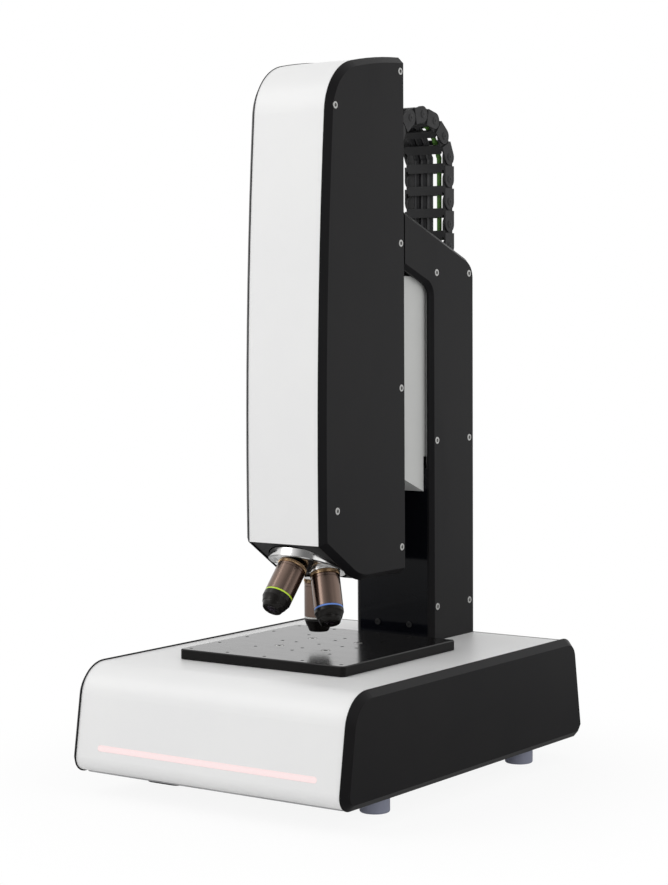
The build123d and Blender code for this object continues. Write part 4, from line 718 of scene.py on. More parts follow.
@dataclass(frozen=True)
class GlossPanel:
    """Polished dark surface with fine wiping marks, which mirrors what stands on it, and may have dull flanks."""

    name: str
    colour: Colour
    roughness: float
    grain: float = 0.03
    gloss: float = 0.5
    flank_gloss: float | None = None
    flank_roughness: float = 0.4
    flank_swing: float = 0.1
    flank_grain: float = 0.02 * MM
    wipe_stretch: Triple = (40.0, 260.0, 260.0)
    wipe_turn: Triple = (0.0, 0.0, radians(18))
    bloom_scale: float = 12.0
    bloom_share: float = 1.6
    fine_scale: float = 1600.0
    fine_depth: float = 0.008 * MM

    def build(self) -> bpy.types.Material:
        """Make the material.

        Returns:
            The material of this finish.
        """
        graph = ShaderGraph(self.name)
        wipes = graph.noise(1.0, 4.0, graph.stretched(self.wipe_stretch, self.wipe_turn))
        cloud = graph.noise(self.bloom_scale, 3.0)
        lighter = tuple(self.bloom_share * part for part in self.colour)
        fine = graph.noise(self.fine_scale, 2.0)
        colour = graph.mix(cloud.between(0.4, 0.8), self.colour, lighter)
        polished = {
            "Base Color": colour,
            "Roughness": self.roughness + wipes.between(0.45, 0.8) * self.grain,
            "Specular IOR Level": self.gloss,
            "Normal": graph.bump(fine, self.fine_depth, 0.4),
        }
        if self.flank_gloss is None:
            return graph.surface(polished)
        sawn = {
            "Base Color": colour,
            "Roughness": self.flank_roughness + fine * self.flank_swing,
            "Specular IOR Level": self.flank_gloss,
            "Normal": graph.bump(fine, self.flank_grain, 0.5),
        }
        _, _, upward = graph.parts(graph.node("ShaderNodeTexCoord", {}, {}).outputs["Normal"])
        return graph.two_surfaces(upward.between(0.5, 0.9), sawn, polished)


class Finishes:
    """Every finish of the microscope, each made once."""

    ISOTROPIC = (900.0, 900.0, 900.0)

    def __init__(self) -> None:
        """Build the finishes of the record's slots and those of single pieces."""
        made = {
            Slot.WHITE_PAINT: Paint("white_baked_paint", (0.845, 0.845, 0.84), (0.82, 0.82, 0.82), 0.42),
            Slot.BLACK_ANODISED: Anodised(
                "black_blasted_cheek", (0.005, 0.0048, 0.0058), (0.008, 0.0075, 0.008), 0.42, gloss=0.13,
            ),
            Slot.BLACK_PAINT: Paint(
                "black_baked_paint", (0.007, 0.007, 0.0085), (0.005, 0.005, 0.006), 0.38,
                coat=0.0, gloss=0.16,
            ),
            Slot.GLOSS_BLACK: GlossPanel("gloss_black_cover", (0.003, 0.0034, 0.005), 0.10, gloss=0.14),
            Slot.LIGHT_GREY_PAINT: Paint(
                "light_grey_paint", (0.57, 0.575, 0.56), (0.53, 0.535, 0.525), 0.5, 0.04 * MM, coat=0.0,
            ),
            Slot.CAST_GREY: Paint(
                "cast_grey_paint", (0.44, 0.44, 0.45), (0.36, 0.36, 0.37), 0.65, 0.2 * MM, coat=0.0,
            ),
            Slot.ALUMINIUM: BrushedMetal("milled_aluminium", (0.62, 0.62, 0.63), 0.34),
            Slot.GROUND_STEEL: BrushedMetal("ground_steel", (0.52, 0.52, 0.53), 0.24),
            Slot.STAGE: GlossPanel(
                "stage_black_anodised", (0.006, 0.0055, 0.0055), 0.15, grain=0.05, flank_gloss=0.12,
            ),
            Slot.SCREW_STEEL: BrushedMetal("screw_steel", (0.50, 0.50, 0.49), 0.30, self.ISOTROPIC),
            Slot.CHROMED: Chromed("turret_chrome", (0.74, 0.735, 0.73), 0.12),
            Slot.BARREL: Anodised(
                "bronze_barrel", (0.19, 0.135, 0.11), (0.22, 0.16, 0.135), 0.22, 0.01 * MM,
                metal=1.0, gloss=0.5,
            ),
            Slot.CHAIN: Moulded(
                "chain_nylon", (0.027, 0.027, 0.028), (0.036, 0.036, 0.037), 0.58, gloss=0.25,
            ),
            Slot.JACKETS: Jackets("cable_jackets"),
            Slot.FOOT_RUBBER: Moulded("foot_rubber", (0.31, 0.325, 0.415), (0.35, 0.365, 0.45), 0.62),
            Slot.BLACK_RUBBER: Moulded(
                "black_foot_rubber", (0.014, 0.014, 0.015), (0.022, 0.022, 0.023), 0.6,
            ),
            Slot.BLACK_PLASTIC: Moulded(
                "socket_plastic", (0.016, 0.016, 0.017), (0.026, 0.026, 0.027), 0.4,
            ),
            Slot.BOARD: CircuitBoard("control_board_mask"),
            Slot.GLASS: OpticalGlass("lens_glass"),
            Slot.DISC: PinholeDisc("pinhole_disc_black", (0.0, 1.0 * MM)),
            Slot.DIFFUSER: LitDiffuser("strip_diffuser", (1.0, 0.90, 0.90), (1.0, 0.84, 0.84), 0.56),
        }
        self.by_slot = {slot: finish.build() for slot, finish in made.items()}
        self.gold = BrushedMetal("brass_grip", (0.50, 0.35, 0.21), 0.20, self.ISOTROPIC).build()
        self.tip = Anodised(
            "black_tip", (0.010, 0.009, 0.008), (0.014, 0.012, 0.011), 0.24, 0.01 * MM,
            metal=0.3, gloss=0.3,
        ).build()
        self.black_steel = Anodised(
            "black_oxide_screw", (0.012, 0.012, 0.013), (0.02, 0.02, 0.02), 0.35,
        ).build()
        self.bands = {
            band: Paint(f"{band.name.lower()}_band", band.value, band.value, 0.35).build() for band in Band
        }
        self.front_glass = OpticalGlass("front_lens_glass", (0.07, 0.06, 0.06), (0.12, 0.09, 0.14)).build()
        self.chip = Moulded("chip_resin", (0.014, 0.014, 0.015), (0.022, 0.022, 0.022), 0.5).build()
        screws = {
            "y_screw": Threaded("y_screw_thread", 1, (0.0, 46.2 * MM)),
            "x_screw": Threaded("x_screw_thread", 0, (WORK_Y, 72.5 * MM)),
            "lift_screw": Threaded("lift_screw_thread", 2, (0.0, 106.0 * MM)),
        }
        self.by_node = {node: finish.build() for node, finish in screws.items()}

    def dress(self, node: str, slot: Slot) -> None:
        """Put its finish on a carried-over piece.

        Args:
            node: name of the piece.
            slot: its material slot in the record.
        """
        mesh = frame["nodes"][node].data
        mesh.materials.clear()
        mesh.materials.append(self.by_node.get(node, self.by_slot[slot]))


def smooth_by_angle(mesh: bpy.types.Mesh, limit: float = 32.0) -> None:
    """Shade a mesh smooth, apart from its sharp edges.

    Args:
        mesh: the mesh to shade.
        limit: angle in degrees from which an edge between two faces is sharp.
    """
    work = bmesh.new()
    work.from_mesh(mesh)
    for face in work.faces:
        face.smooth = True
    for edge in work.edges:
        edge.smooth = len(edge.link_faces) == 2 and degrees(edge.calc_face_angle(pi)) < limit
    work.to_mesh(mesh)
    work.free()


def linked(name: str, mesh: bpy.types.Mesh) -> bpy.types.Object:
    """Put a mesh in the scene as an object at the origin.

    Args:
        name: the object's name.
        mesh: its mesh.

    Returns:
        The object.
    """
    made = bpy.data.objects.new(name, mesh)
    bpy.context.scene.collection.objects.link(made)
    return made


def along_axis(origin: Vector, axis: Vector) -> Matrix:
    """Matrix that takes +Z to an axis from an origin."""
    return Matrix.Translation(origin) @ axis.to_track_quat("Z", "Y").to_matrix().to_4x4()


def both_sides(spots: list[tuple[float, float]], reach: float) -> list[Seat]:
    """Seats that face outward on the right and on the left.

    Args:
        spots: places in Y and Z.
        reach: distance of the seats from the middle plane.

    Returns:
        Place and Euler angles of each seat.
    """
    return [(Vector((side * reach, y, z)), (0.0, side * pi / 2, 0.0)) for side in (1, -1) for y, z in spots]


def skinned(name: str, rings: list[list[Vector]], material: bpy.types.Material) -> bpy.types.Object:
    """Stretch a closed skin over rings of points.

    Args:
        name: the object's name.
        rings: rings from one end to the other, with equally many points each, or one point at a pole.
        material: the finish of the piece.

    Returns:
        The closed piece.
    """
    work = bmesh.new()
    made = [[work.verts.new(spot) for spot in ring] for ring in rings]
    around = max(len(ring) for ring in rings)
    for lower, upper in zip(made, made[1:]):
        for step in range(around):
            after = (step + 1) % around
            corners = [lower[step % len(lower)], lower[after % len(lower)]]
            corners += [upper[after % len(upper)], upper[step % len(upper)]]
            work.faces.new(list(dict.fromkeys(corners)))
    for end in (made[0][::-1], made[-1]):
        if len(end) > 1:
            work.faces.new(end)
    bmesh.ops.recalc_face_normals(work, faces=work.faces)
    mesh = bpy.data.meshes.new(name)
    work.to_mesh(mesh)
    work.free()
    smooth_by_angle(mesh)
    mesh.materials.append(material)
    return linked(name, mesh)


def revolved(name: str, profile: list[tuple[float, float]], seat: Matrix,
             material: bpy.types.Material, segments: int = 96) -> bpy.types.Object:
    """Turn a profile about an axis.

    Args:
        name: the object's name.
        profile: points of radius and height, from the lower end on the axis to the upper one.
        seat: matrix that places the axis, which runs along its Z.
        material: the finish of the piece.
        segments: faces round the axis.

    Returns:
        The turned piece.
    """
    turns = [2 * pi * step / segments for step in range(segments)]
    rings = []
    for radius, height in profile:
        angles = turns if radius > 0.0 else [0.0]
        rings.append([seat @ Vector((radius * cos(turn), radius * sin(turn), height)) for turn in angles])
    return skinned(name, rings, material)


class Repeater(Graph):
    """A Geometry Nodes tree that sets one shape on many points."""

    def __init__(self, name: str, sizes: dict[str, float], material: bpy.types.Material) -> None:
        """Start the tree.

        Args:
            name: the tree's name.
            sizes: its named inputs, in metres or as plain numbers.
            material: the finish of the result.
        """
        super().__init__(bpy.data.node_groups.new(name, "GeometryNodeTree"))
        self.sizes = sizes
        self.material = material
        faces = self.tree.interface
        faces.new_socket("Geometry", in_out="INPUT", socket_type="NodeSocketGeometry")
        made = {size: faces.new_socket(size, in_out="INPUT", socket_type="NodeSocketFloat") for size in sizes}
        self.identifiers = {size: socket.identifier for size, socket in made.items()}
        faces.new_socket("Geometry", in_out="OUTPUT", socket_type="NodeSocketGeometry")
        self.entry = self.node("NodeGroupInput", {}, {})

    def size(self, name: str) -> Term:
        """One of the named inputs."""
        return Term(self, self.entry.outputs[name])

    def heave(self, mesh: bpy.types.NodeSocket, top: bpy.types.NodeSocket, rise: "Term | float",
              scale: "Term | float") -> tuple[bpy.types.NodeSocket, bpy.types.NodeSocket]:
        """Raise the top face and change its width.

        Args:
            mesh: the mesh so far.
            top: selection of its top face.
            rise: height of the new wall.
            scale: width of the new top as a share of the old one.

        Returns:
            The mesh and the selection of its new top.
        """
        sockets = {"Mesh": mesh, "Selection": top, "Offset Scale": rise, "Individual": False}
        raised = self.node("GeometryNodeExtrudeMesh", {"mode": "FACES"}, sockets)
        sockets = {"Geometry": raised.outputs["Mesh"], "Selection": raised.outputs["Top"], "Scale": scale}
        widened = self.node("GeometryNodeScaleElements", {"domain": "FACE"}, sockets)
        return widened.outputs[0], raised.outputs["Top"]

    def set_on_points(self, shape: bpy.types.NodeSocket) -> None:
        """Set the shape on the points, turned by their own attribute, and close the tree.

        Args:
            shape: the geometry to repeat.
        """
        turn = self.node("GeometryNodeInputNamedAttribute", {"data_type": "FLOAT_VECTOR"}, {"Name": "turn"})
        euler = self.node("FunctionNodeEulerToRotation", {}, {0: turn.outputs["Attribute"]})
        sockets = {"Points": self.entry.outputs[0], "Instance": shape, "Rotation": euler.outputs[0]}
        instances = self.node("GeometryNodeInstanceOnPoints", {}, sockets)
        self.close(instances.outputs[0])

    def close(self, geometry: bpy.types.NodeSocket) -> None:
        """Realise the instances, give them their finish and end the tree.

        Args:
            geometry: the instances.
        """
        real = self.node("GeometryNodeRealizeInstances", {}, {0: geometry})
        sockets = {"Geometry": real.outputs[0], "Material": self.material}
        done = self.node("GeometryNodeSetMaterial", {}, sockets)
        self.node("NodeGroupOutput", {}, {0: done.outputs[0]})

    def grow(self, name: str, seats: list[Seat]) -> bpy.types.Object:
        """Run the tree on points and keep the result as a plain mesh.

        Args:
            name: the new object's name.
            seats: place and Euler angles of each repeat.

        Returns:
            The object, with no modifier on it.
        """
        points = bpy.data.meshes.new(f"{name}_points")
        points.from_pydata([tuple(place) for place, _ in seats], [], [])
        turns = points.attributes.new("turn", "FLOAT_VECTOR", "POINT")
        turns.data.foreach_set("vector", [part for _, turn in seats for part in turn])
        made = linked(name, points)
        modifier = made.modifiers.new("repeat", "NODES")
        modifier.node_group = self.tree
        for size, value in self.sizes.items():
            modifier[self.identifiers[size]] = value
        made.update_tag()
        shown = made.evaluated_get(bpy.context.evaluated_depsgraph_get())
        mesh = bpy.data.meshes.new_from_object(shown)
        made.modifiers.clear()
        made.data = mesh
        smooth_by_angle(mesh)
        return made


@dataclass(frozen=True)
class ScrewSize:
    """Sizes of a socket-head screw."""

    shank_radius: float
    shank_length: float
    head_radius: float
    head_height: float
    chamfer: float
    socket_radius: float
    socket_depth: float

    def inputs(self) -> dict[str, float]:
        """Sizes by the names of the tree's inputs, such as Head Radius."""
        return {name.replace("_", " ").title(): value for name, value in asdict(self).items()}


class ScrewTree(Repeater):
    """Socket-head screw: a shank, a chamfered head and a hexagonal socket."""

    SIDES = 48

    def __init__(self, name: str, screw: ScrewSize, material: bpy.types.Material) -> None:
        """Build the screw from its sizes.

        Args:
            name: the tree's name.
            screw: the screw's sizes.
            material: the finish of the screws.
        """
        super().__init__(name, screw.inputs(), material)
        shank, length = self.size("Shank Radius"), self.size("Shank Length")
        head, height = self.size("Head Radius"), self.size("Head Height")
        chamfer = self.size("Chamfer")
        socket, depth = self.size("Socket Radius"), self.size("Socket Depth")
        sockets = {"Vertices": self.SIDES, "Radius": shank, "Depth": length}
        core = self.node("GeometryNodeMeshCylinder", {}, sockets)
        down = self.node("ShaderNodeCombineXYZ", {}, {"Z": length * -0.5})
        sockets = {"Geometry": core.outputs["Mesh"], "Translation": down.outputs[0]}
        seated = self.node("GeometryNodeTransform", {}, sockets)
        mesh, top = seated.outputs[0], core.outputs["Top"]
        mesh, top = self.heave(mesh, top, 0.0, head / shank)
        mesh, top = self.heave(mesh, top, height - chamfer, 1.0)
        mesh, top = self.heave(mesh, top, chamfer, (head - chamfer) / head)
        mesh, top = self.heave(mesh, top, 0.0, socket / (head - chamfer))
        mesh, top = self.heave(self.hexagonal(mesh, top), top, depth * -1.0, 1.0)
        self.set_on_points(mesh)

    def hexagonal(self, mesh: bpy.types.NodeSocket, top: bpy.types.NodeSocket) -> bpy.types.NodeSocket:
        """Pull a round top in to a hexagon.

        Args:
            mesh: the mesh so far.
            top: selection of its round top.

        Returns:
            The mesh with a hexagonal top.
        """
        place = self.node("GeometryNodeInputPosition", {}, {}).outputs[0]
        across, along, _ = self.parts(place)
        sixth = pi / 3
        flat = (along.angle_to(across) % sixth - sixth / 2).cosine()
        inward = cos(sixth / 2) / flat
        share = self.node("ShaderNodeCombineXYZ", {}, {"X": inward, "Y": inward, "Z": 1.0})
        sockets = {0: place, 1: share.outputs[0]}
        moved = self.node("ShaderNodeVectorMath", {"operation": "MULTIPLY"}, sockets)
        sockets = {"Geometry": mesh, "Selection": top, "Position": moved.outputs[0]}
        return self.node("GeometryNodeSetPosition", {}, sockets).outputs[0]


class CapTree(Repeater):
    """Low domed cap, as on the joints of a cable chain.

    Each of its steps has a rise as a share of the height, and a width as a share of that before it.
    """

    SIDES = 24
    STEPS = ((0.5, 0.86), (0.25, 0.6), (0.0, 0.5), (-0.6, 0.9))

    def __init__(self, name: str, sizes: dict[str, float], material: bpy.types.Material) -> None:
        """Build the cap from its sizes.

        Args:
            name: the tree's name.
            sizes: Radius and Height.
            material: the finish of the caps.
        """
        super().__init__(name, sizes, material)
        radius, height = self.size("Radius"), self.size("Height")
        sockets = {"Vertices": self.SIDES, "Radius": radius, "Depth": height}
        core = self.node("GeometryNodeMeshCylinder", {}, sockets)
        mesh, top = core.outputs["Mesh"], core.outputs["Top"]
        for rise, width in self.STEPS:
            mesh, top = self.heave(mesh, top, height * rise, width)
        self.set_on_points(mesh)


class RibTree(Repeater):
    """Straight rib of a knurl, standing along its own Z with its crest outward along X."""

    BODY_SHARE = 0.8
    END_SHARE = 0.1
    END_WIDTH = 0.4

    def __init__(self, name: str, sizes: dict[str, float], material: bpy.types.Material) -> None:
        """Build the rib from its sizes.

        Args:
            name: the tree's name.
            sizes: Width and Length.
            material: the finish of the ribs.
        """
        super().__init__(name, sizes, material)
        width, length = self.size("Width"), self.size("Length")
        sockets = {"Vertices": 4, "Radius": width * 0.5, "Depth": length * self.BODY_SHARE}
        core = self.node("GeometryNodeMeshCylinder", {}, sockets)
        mesh = core.outputs["Mesh"]
        for end in (core.outputs["Top"], core.outputs["Bottom"]):
            mesh, _ = self.heave(mesh, end, length * self.END_SHARE, self.END_WIDTH)
        self.set_on_points(mesh)


class ChipTree(Repeater):
    """Small moulded package on a board, with a bevelled top."""

    CORNER_REACH = 0.7071
    BEVEL_RISE = 0.25
    BEVEL_WIDTH = 0.92

    def __init__(self, name: str, sizes: dict[str, float], material: bpy.types.Material) -> None:
        """Build the package from its sizes.

        Args:
            name: the tree's name.
            sizes: Side and Height.
            material: the finish of the packages.
        """
        super().__init__(name, sizes, material)
        side, height = self.size("Side"), self.size("Height")
        sockets = {"Vertices": 4, "Radius": side * self.CORNER_REACH, "Depth": height}
        core = self.node("GeometryNodeMeshCylinder", {}, sockets)
        mesh, top = core.outputs["Mesh"], core.outputs["Top"]
        mesh, _ = self.heave(mesh, top, height * self.BEVEL_RISE, self.BEVEL_WIDTH)
        self.set_on_points(mesh)


def finished(piece: bpy.types.Object, body: str, slot: Slot, *replaced: str) -> bpy.types.Object:
    """Hand a piece to the frame.

    Args:
        piece: the piece, at its place.
        body: the body that carries it.
        slot: the record's material slot that it belongs to; not used.
        replaced: the carried-over pieces that it stands for.

    Returns:
        The piece.
    """
    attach(piece, body)
    if replaced:
        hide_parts(*replaced)
    log.info("%s: %d faces on %s", piece.name, len(piece.data.polygons), body)
    return piece


@dataclass
class SideScrews:
    """Screws that hold the side plates of the column and the head, and the column's front panel."""

    side: ScrewSize = ScrewSize(2.0 * MM, 8.9 * MM, 3.4 * MM, 2.2 * MM, 0.35 * MM, 1.75 * MM, 1.3 * MM)
    panel: ScrewSize = ScrewSize(1.4 * MM, 4.0 * MM, 2.8 * MM, 1.4 * MM, 0.35 * MM, 1.3 * MM, 0.8 * MM)
    column_ys: tuple[float, ...] = (0.10185, 0.15755)
    column_zs: tuple[float, ...] = (0.1435, 0.2965, 0.4495)
    panel_xs: tuple[float, ...] = (-0.0175, 0.0175)
    panel_seat_y: float = 93.1 * MM
    panel_z: float = 126.0 * MM
    head_rear_y: float = 42.85 * MM
    head_rear_zs: tuple[float, ...] = (0.204, 0.3462, 0.4748, 0.6261)
    head_front_y: float = -57.05 * MM
    head_front_zs: tuple[float, ...] = (0.2439, 0.5892)

    def build(self, finishes: Finishes) -> None:
        """Make the screws of the column and of the head.

        Args:
            finishes: the finishes of the microscope.
        """
        steel = finishes.by_slot[Slot.SCREW_STEEL]
        _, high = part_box("column_screws")
        tree = ScrewTree("side_screw", self.side, steel)
        spots = [(y, z) for y in self.column_ys for z in self.column_zs]
        column = tree.grow("column_side_screws", both_sides(spots, high.x - self.side.head_height))
        finished(column, "stand", Slot.SCREW_STEEL, "column_screws")
        tree = ScrewTree("panel_screw", self.panel, finishes.black_steel)
        seats = [(Vector((x, self.panel_seat_y, self.panel_z)), (pi / 2, 0.0, 0.0)) for x in self.panel_xs]
        finished(tree.grow("panel_screws", seats), "stand", Slot.SCREW_STEEL)
        _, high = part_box("head_screws")
        tree = ScrewTree("head_screw", self.side, steel)
        spots = [(self.head_rear_y, z) for z in self.head_rear_zs]
        spots += [(self.head_front_y, z) for z in self.head_front_zs]
        head = tree.grow("head_side_screws", both_sides(spots, high.x - self.side.head_height))
        finished(head, "head", Slot.SCREW_STEEL, "head_screws")


@dataclass
class StageScrews:
    """Cap screws sunk in the specimen plate, each as far from its middle in X as in Y."""

    reach: float = 25.0 * MM
    screw: ScrewSize = ScrewSize(2.0 * MM, 8.0 * MM, 3.95 * MM, 4.0 * MM, 0.4 * MM, 2.1 * MM, 2.2 * MM)

    def build(self, finishes: Finishes) -> None:
        """Make the four cap screws, with shanks as long as those that they stand for.

        Args:
            finishes: the finishes of the microscope.
        """
        low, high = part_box("stage_screws")
        seat_z = high.z - self.screw.head_height
        screw = replace(self.screw, shank_length=seat_z - low.z)
        tree = ScrewTree("stage_screw", screw, finishes.by_slot[Slot.SCREW_STEEL])
        spots = [(x, WORK_Y + y) for x in (-self.reach, self.reach) for y in (-self.reach, self.reach)]
        seats = [(Vector((x, y, seat_z)), (0.0, 0.0, 0.0)) for x, y in spots]
        finished(tree.grow("stage_cap_screws", seats), "cross_stage", Slot.SCREW_STEEL, "stage_screws")


@dataclass
class Objective:
    """One objective: knurled brass grip, bronze barrel, colour ring, black nose and front lens.

    Heights run along its axis from the point where the axes of the ports meet, down to the tip.
    """

    name: str
    band: Band
    turn: float
    band_start: float
    apex: Vector
    pivot: Vector
    grip_start: float = 56.6 * MM
    grip_end: float = 60.0 * MM
    grip_radius: float = 12.9 * MM
    grip_chamfer: float = 0.5 * MM
    grip_lead: float = 0.4 * MM
    grip_run_out: float = 0.3 * MM
    rib_seat: float = 0.2 * MM
    rib_sink: float = 0.1 * MM
    rib_width: float = 0.55 * MM
    rib_length: float = 2.6 * MM
    rib_count: int = 84
    barrel_radius: float = 12.7 * MM
    barrel_chamfer: float = 0.5 * MM
    groove_start: float = 62.4 * MM
    groove_depth: float = 0.35 * MM
    groove_flank: float = 0.2 * MM
    groove_floor: float = 0.5 * MM
    seam_depth: float = 0.25 * MM
    seam_flank: float = 0.15 * MM
    band_width: float = 1.4 * MM
    band_sink: float = 0.05 * MM
    band_edge_sink: float = 0.1 * MM
    band_edge: float = 0.2 * MM
    nose_start: float = 94.0 * MM
    nose_edge: float = 0.2 * MM
    nose_chamfer: float = 0.3 * MM
    step_lip: float = 0.25 * MM
    step_lead: float = 0.2 * MM
    step_depth: float = 0.35 * MM
    step_foot: float = 0.45 * MM
    step_run: float = 0.5 * MM
    tip_end: float = 103.4 * MM
    tip_radius: float = 8.4 * MM
    tip_flare: float = 0.3 * MM
    tip_chamfer: float = 0.6 * MM
    tip_round: float = 0.4 * MM
    bezel_width: float = 1.4 * MM
    bezel_foot: float = 0.4 * MM
    bezel_depth: float = 0.6 * MM
    lens_radius: float = 4.8 * MM
    lens_seat: float = 0.8 * MM
    lens_back: float = 0.78 * MM
    lens_gap: float = 0.1 * MM
    lens_shoulder: float = 0.7 * MM
    lens_crown: float = 0.6 * MM
    lens_share: float = 0.96
    lens_steps: int = 8

    def build(self, finishes: Finishes) -> None:
        """Make the pieces of the objective.

        Args:
            finishes: the finishes of the microscope.
        """
        axis = Matrix.Rotation(self.turn, 3, self.pivot) @ Vector((0.0, 0.0, -1.0))
        seat = along_axis(self.apex, axis)
        self.build_grip(finishes, seat)
        self.build_barrel(finishes, seat)
        self.build_nose(finishes, seat, self.band_start + self.band_width)

    def build_grip(self, finishes: Finishes, seat: Matrix) -> None:
        """Turn the grip and set the ribs of its knurl round it.

        Args:
            finishes: the finishes of the microscope.
            seat: place of the objective's axis.
        """
        ledge = self.grip_radius - self.rib_seat
        grip = [
            (0.0, self.grip_start), (self.grip_radius - self.grip_chamfer, self.grip_start),
            (ledge, self.grip_start + self.grip_lead), (ledge, self.grip_end - self.grip_run_out),
            (self.barrel_radius - self.barrel_chamfer, self.grip_end), (0.0, self.grip_end),
        ]
        finished(revolved(f"{self.name}_grip", grip, seat, finishes.gold), "turret", Slot.BARREL)
        sizes = {"Width": self.rib_width, "Length": self.rib_length}
        tree = RibTree(f"{self.name}_rib", sizes, finishes.gold)
        middle = (self.grip_start + self.grip_end) / 2
        outward = Matrix.Translation((self.grip_radius - self.rib_sink, 0.0, middle))
        seats = []
        for step in range(self.rib_count):
            spot = seat @ (Matrix.Rotation(2 * pi * step / self.rib_count, 4, "Z") @ outward)
            seats.append((spot.translation.copy(), tuple(spot.to_euler())))
        finished(tree.grow(f"{self.name}_knurl", seats), "turret", Slot.BARREL)

    def build_barrel(self, finishes: Finishes, seat: Matrix) -> None:
        """Turn the barrel with its groove, and the colour ring.

        Args:
            finishes: the finishes of the microscope.
            seat: place of the objective's axis.
        """
        radius, start, end = self.barrel_radius, self.band_start, self.band_start + self.band_width
        floor_start = self.groove_start + self.groove_flank
        floor_end = floor_start + self.groove_floor
        barrel = [
            (0.0, self.grip_end), (radius - self.barrel_chamfer, self.grip_end),
            (radius, self.grip_end + self.barrel_chamfer), (radius, self.groove_start),
            (radius - self.groove_depth, floor_start), (radius - self.groove_depth, floor_end),
            (radius, floor_end + self.groove_flank), (radius, start - self.seam_flank),
            (radius - self.seam_depth, start), (0.0, start),
        ]
        piece = revolved(f"{self.name}_barrel", barrel, seat, finishes.by_slot[Slot.BARREL])
        finished(piece, "turret", Slot.BARREL, self.name)
        ring = [
            (0.0, start), (radius - self.band_edge_sink, start),
            (radius - self.band_sink, start + self.band_edge), (radius - self.band_sink, end - self.band_edge),
            (radius - self.band_edge_sink, end), (0.0, end),
        ]
        finished(revolved(f"{self.name}_band", ring, seat, finishes.bands[self.band]), "turret", Slot.BARREL)

    def build_nose(self, finishes: Finishes, seat: Matrix, start: float) -> None:
        """Turn the black nose and its front lens.

        Args:
            finishes: the finishes of the microscope.
            seat: place of the objective's axis.
            start: height where the nose begins.
        """
        radius, tip, end = self.barrel_radius, self.tip_radius, self.tip_end
        middle = (self.nose_start + end) / 2
        middle_radius = (radius + tip) / 2
        nose = [
            (0.0, start), (radius - self.seam_depth, start), (radius, start + self.nose_edge),
            (radius, self.nose_start - self.nose_chamfer), (radius - self.seam_depth, self.nose_start),
            (middle_radius + self.step_lip, middle - self.step_lead),
            (middle_radius - self.step_depth, middle),
            (middle_radius - self.step_foot, middle + self.step_run),
            (tip + self.tip_flare, end - self.tip_chamfer), (tip - self.tip_round, end),
            (self.lens_radius + self.bezel_width, end),
            (self.lens_radius + self.bezel_foot, end - self.bezel_depth),
            (self.lens_radius, end - self.lens_seat), (0.0, end - self.lens_seat),
        ]
        finished(revolved(f"{self.name}_nose", nose, seat, finishes.tip), "turret", Slot.BARREL)
        lens = [(0.0, end - self.lens_back), (self.lens_radius - self.lens_gap, end - self.lens_back)]
        for step in range(1, self.lens_steps):
            turn = pi / 2 * step / self.lens_steps
            reach = self.lens_radius * self.lens_share * cos(turn)
            lens.append((reach, end - self.lens_shoulder + self.lens_crown * sin(turn)))
        lens.append((0.0, end - self.lens_shoulder + self.lens_crown))
        finished(revolved(f"{self.name}_lens", lens, seat, finishes.front_glass), "turret", Slot.GLASS)


@dataclass
class Turret:
    """Revolving nosepiece with its three objectives."""

    apex: Vector
    tilt: float

    def build(self, finishes: Finishes) -> None:
        """Make the objectives on their ports.

        Args:
            finishes: the finishes of the microscope.
        """
        pivot = Vector((0.0, -sin(self.tilt), -cos(self.tilt)))
        fitted = [
            ("objective_white_ring", Band.WHITE, 0.0, 90.2 * MM),
            ("objective_blue_ring", Band.BLUE, pi / 2, 89.2 * MM),
            ("objective_green_ring", Band.GREEN, pi, 87.8 * MM),
        ]
        for name, band, turn, start in fitted:
            Objective(name, band, turn, start, self.apex, pivot).build(finishes)


@dataclass
class CableChain:
    """Caps on the joints of the cable chain, whose middle part turns over as the head rises."""

    pitch: float = 20.8 * MM
    turns: int = 7
    half_width: float = 22.7 * MM
    rear_y: float = 156.25 * MM
    pivot_z: float = 558.2 * MM
    column_links: int = 8
    head_links: int = 4
    cap_radius: float = 3.6 * MM
    cap_height: float = 0.5 * MM

    def build(self, finishes: Finishes) -> None:
        """Make the caps of the three parts of the chain.

        Args:
            finishes: the finishes of the microscope.
        """
        rear = [(self.rear_y, self.pivot_z - self.pitch * step) for step in range(self.column_links)]
        arc, place = [], (self.rear_y, self.pivot_z)
        for step in range(1, self.turns):
            lean = pi / self.turns * step
            place = (place[0] - self.pitch * sin(lean), place[1] + self.pitch * cos(lean))
            arc.append(place)
        front_y = self.rear_y - self.pitch / tan(pi / self.turns / 2)
        front = [(front_y, self.pivot_z - self.pitch * step) for step in range(1, self.head_links + 1)]
        sizes = {"Radius": self.cap_radius, "Height": self.cap_height}
        groups = [
            ("chain_column_caps", "stand", rear),
            ("chain_loop_caps", "cable_loop", arc),
            ("chain_head_caps", "head", front),
        ]
        for name, body, pins in groups:
            tree = CapTree(name, sizes, finishes.by_slot[Slot.CHAIN])
            finished(tree.grow(name, both_sides(pins, self.half_width)), body, Slot.CHAIN)


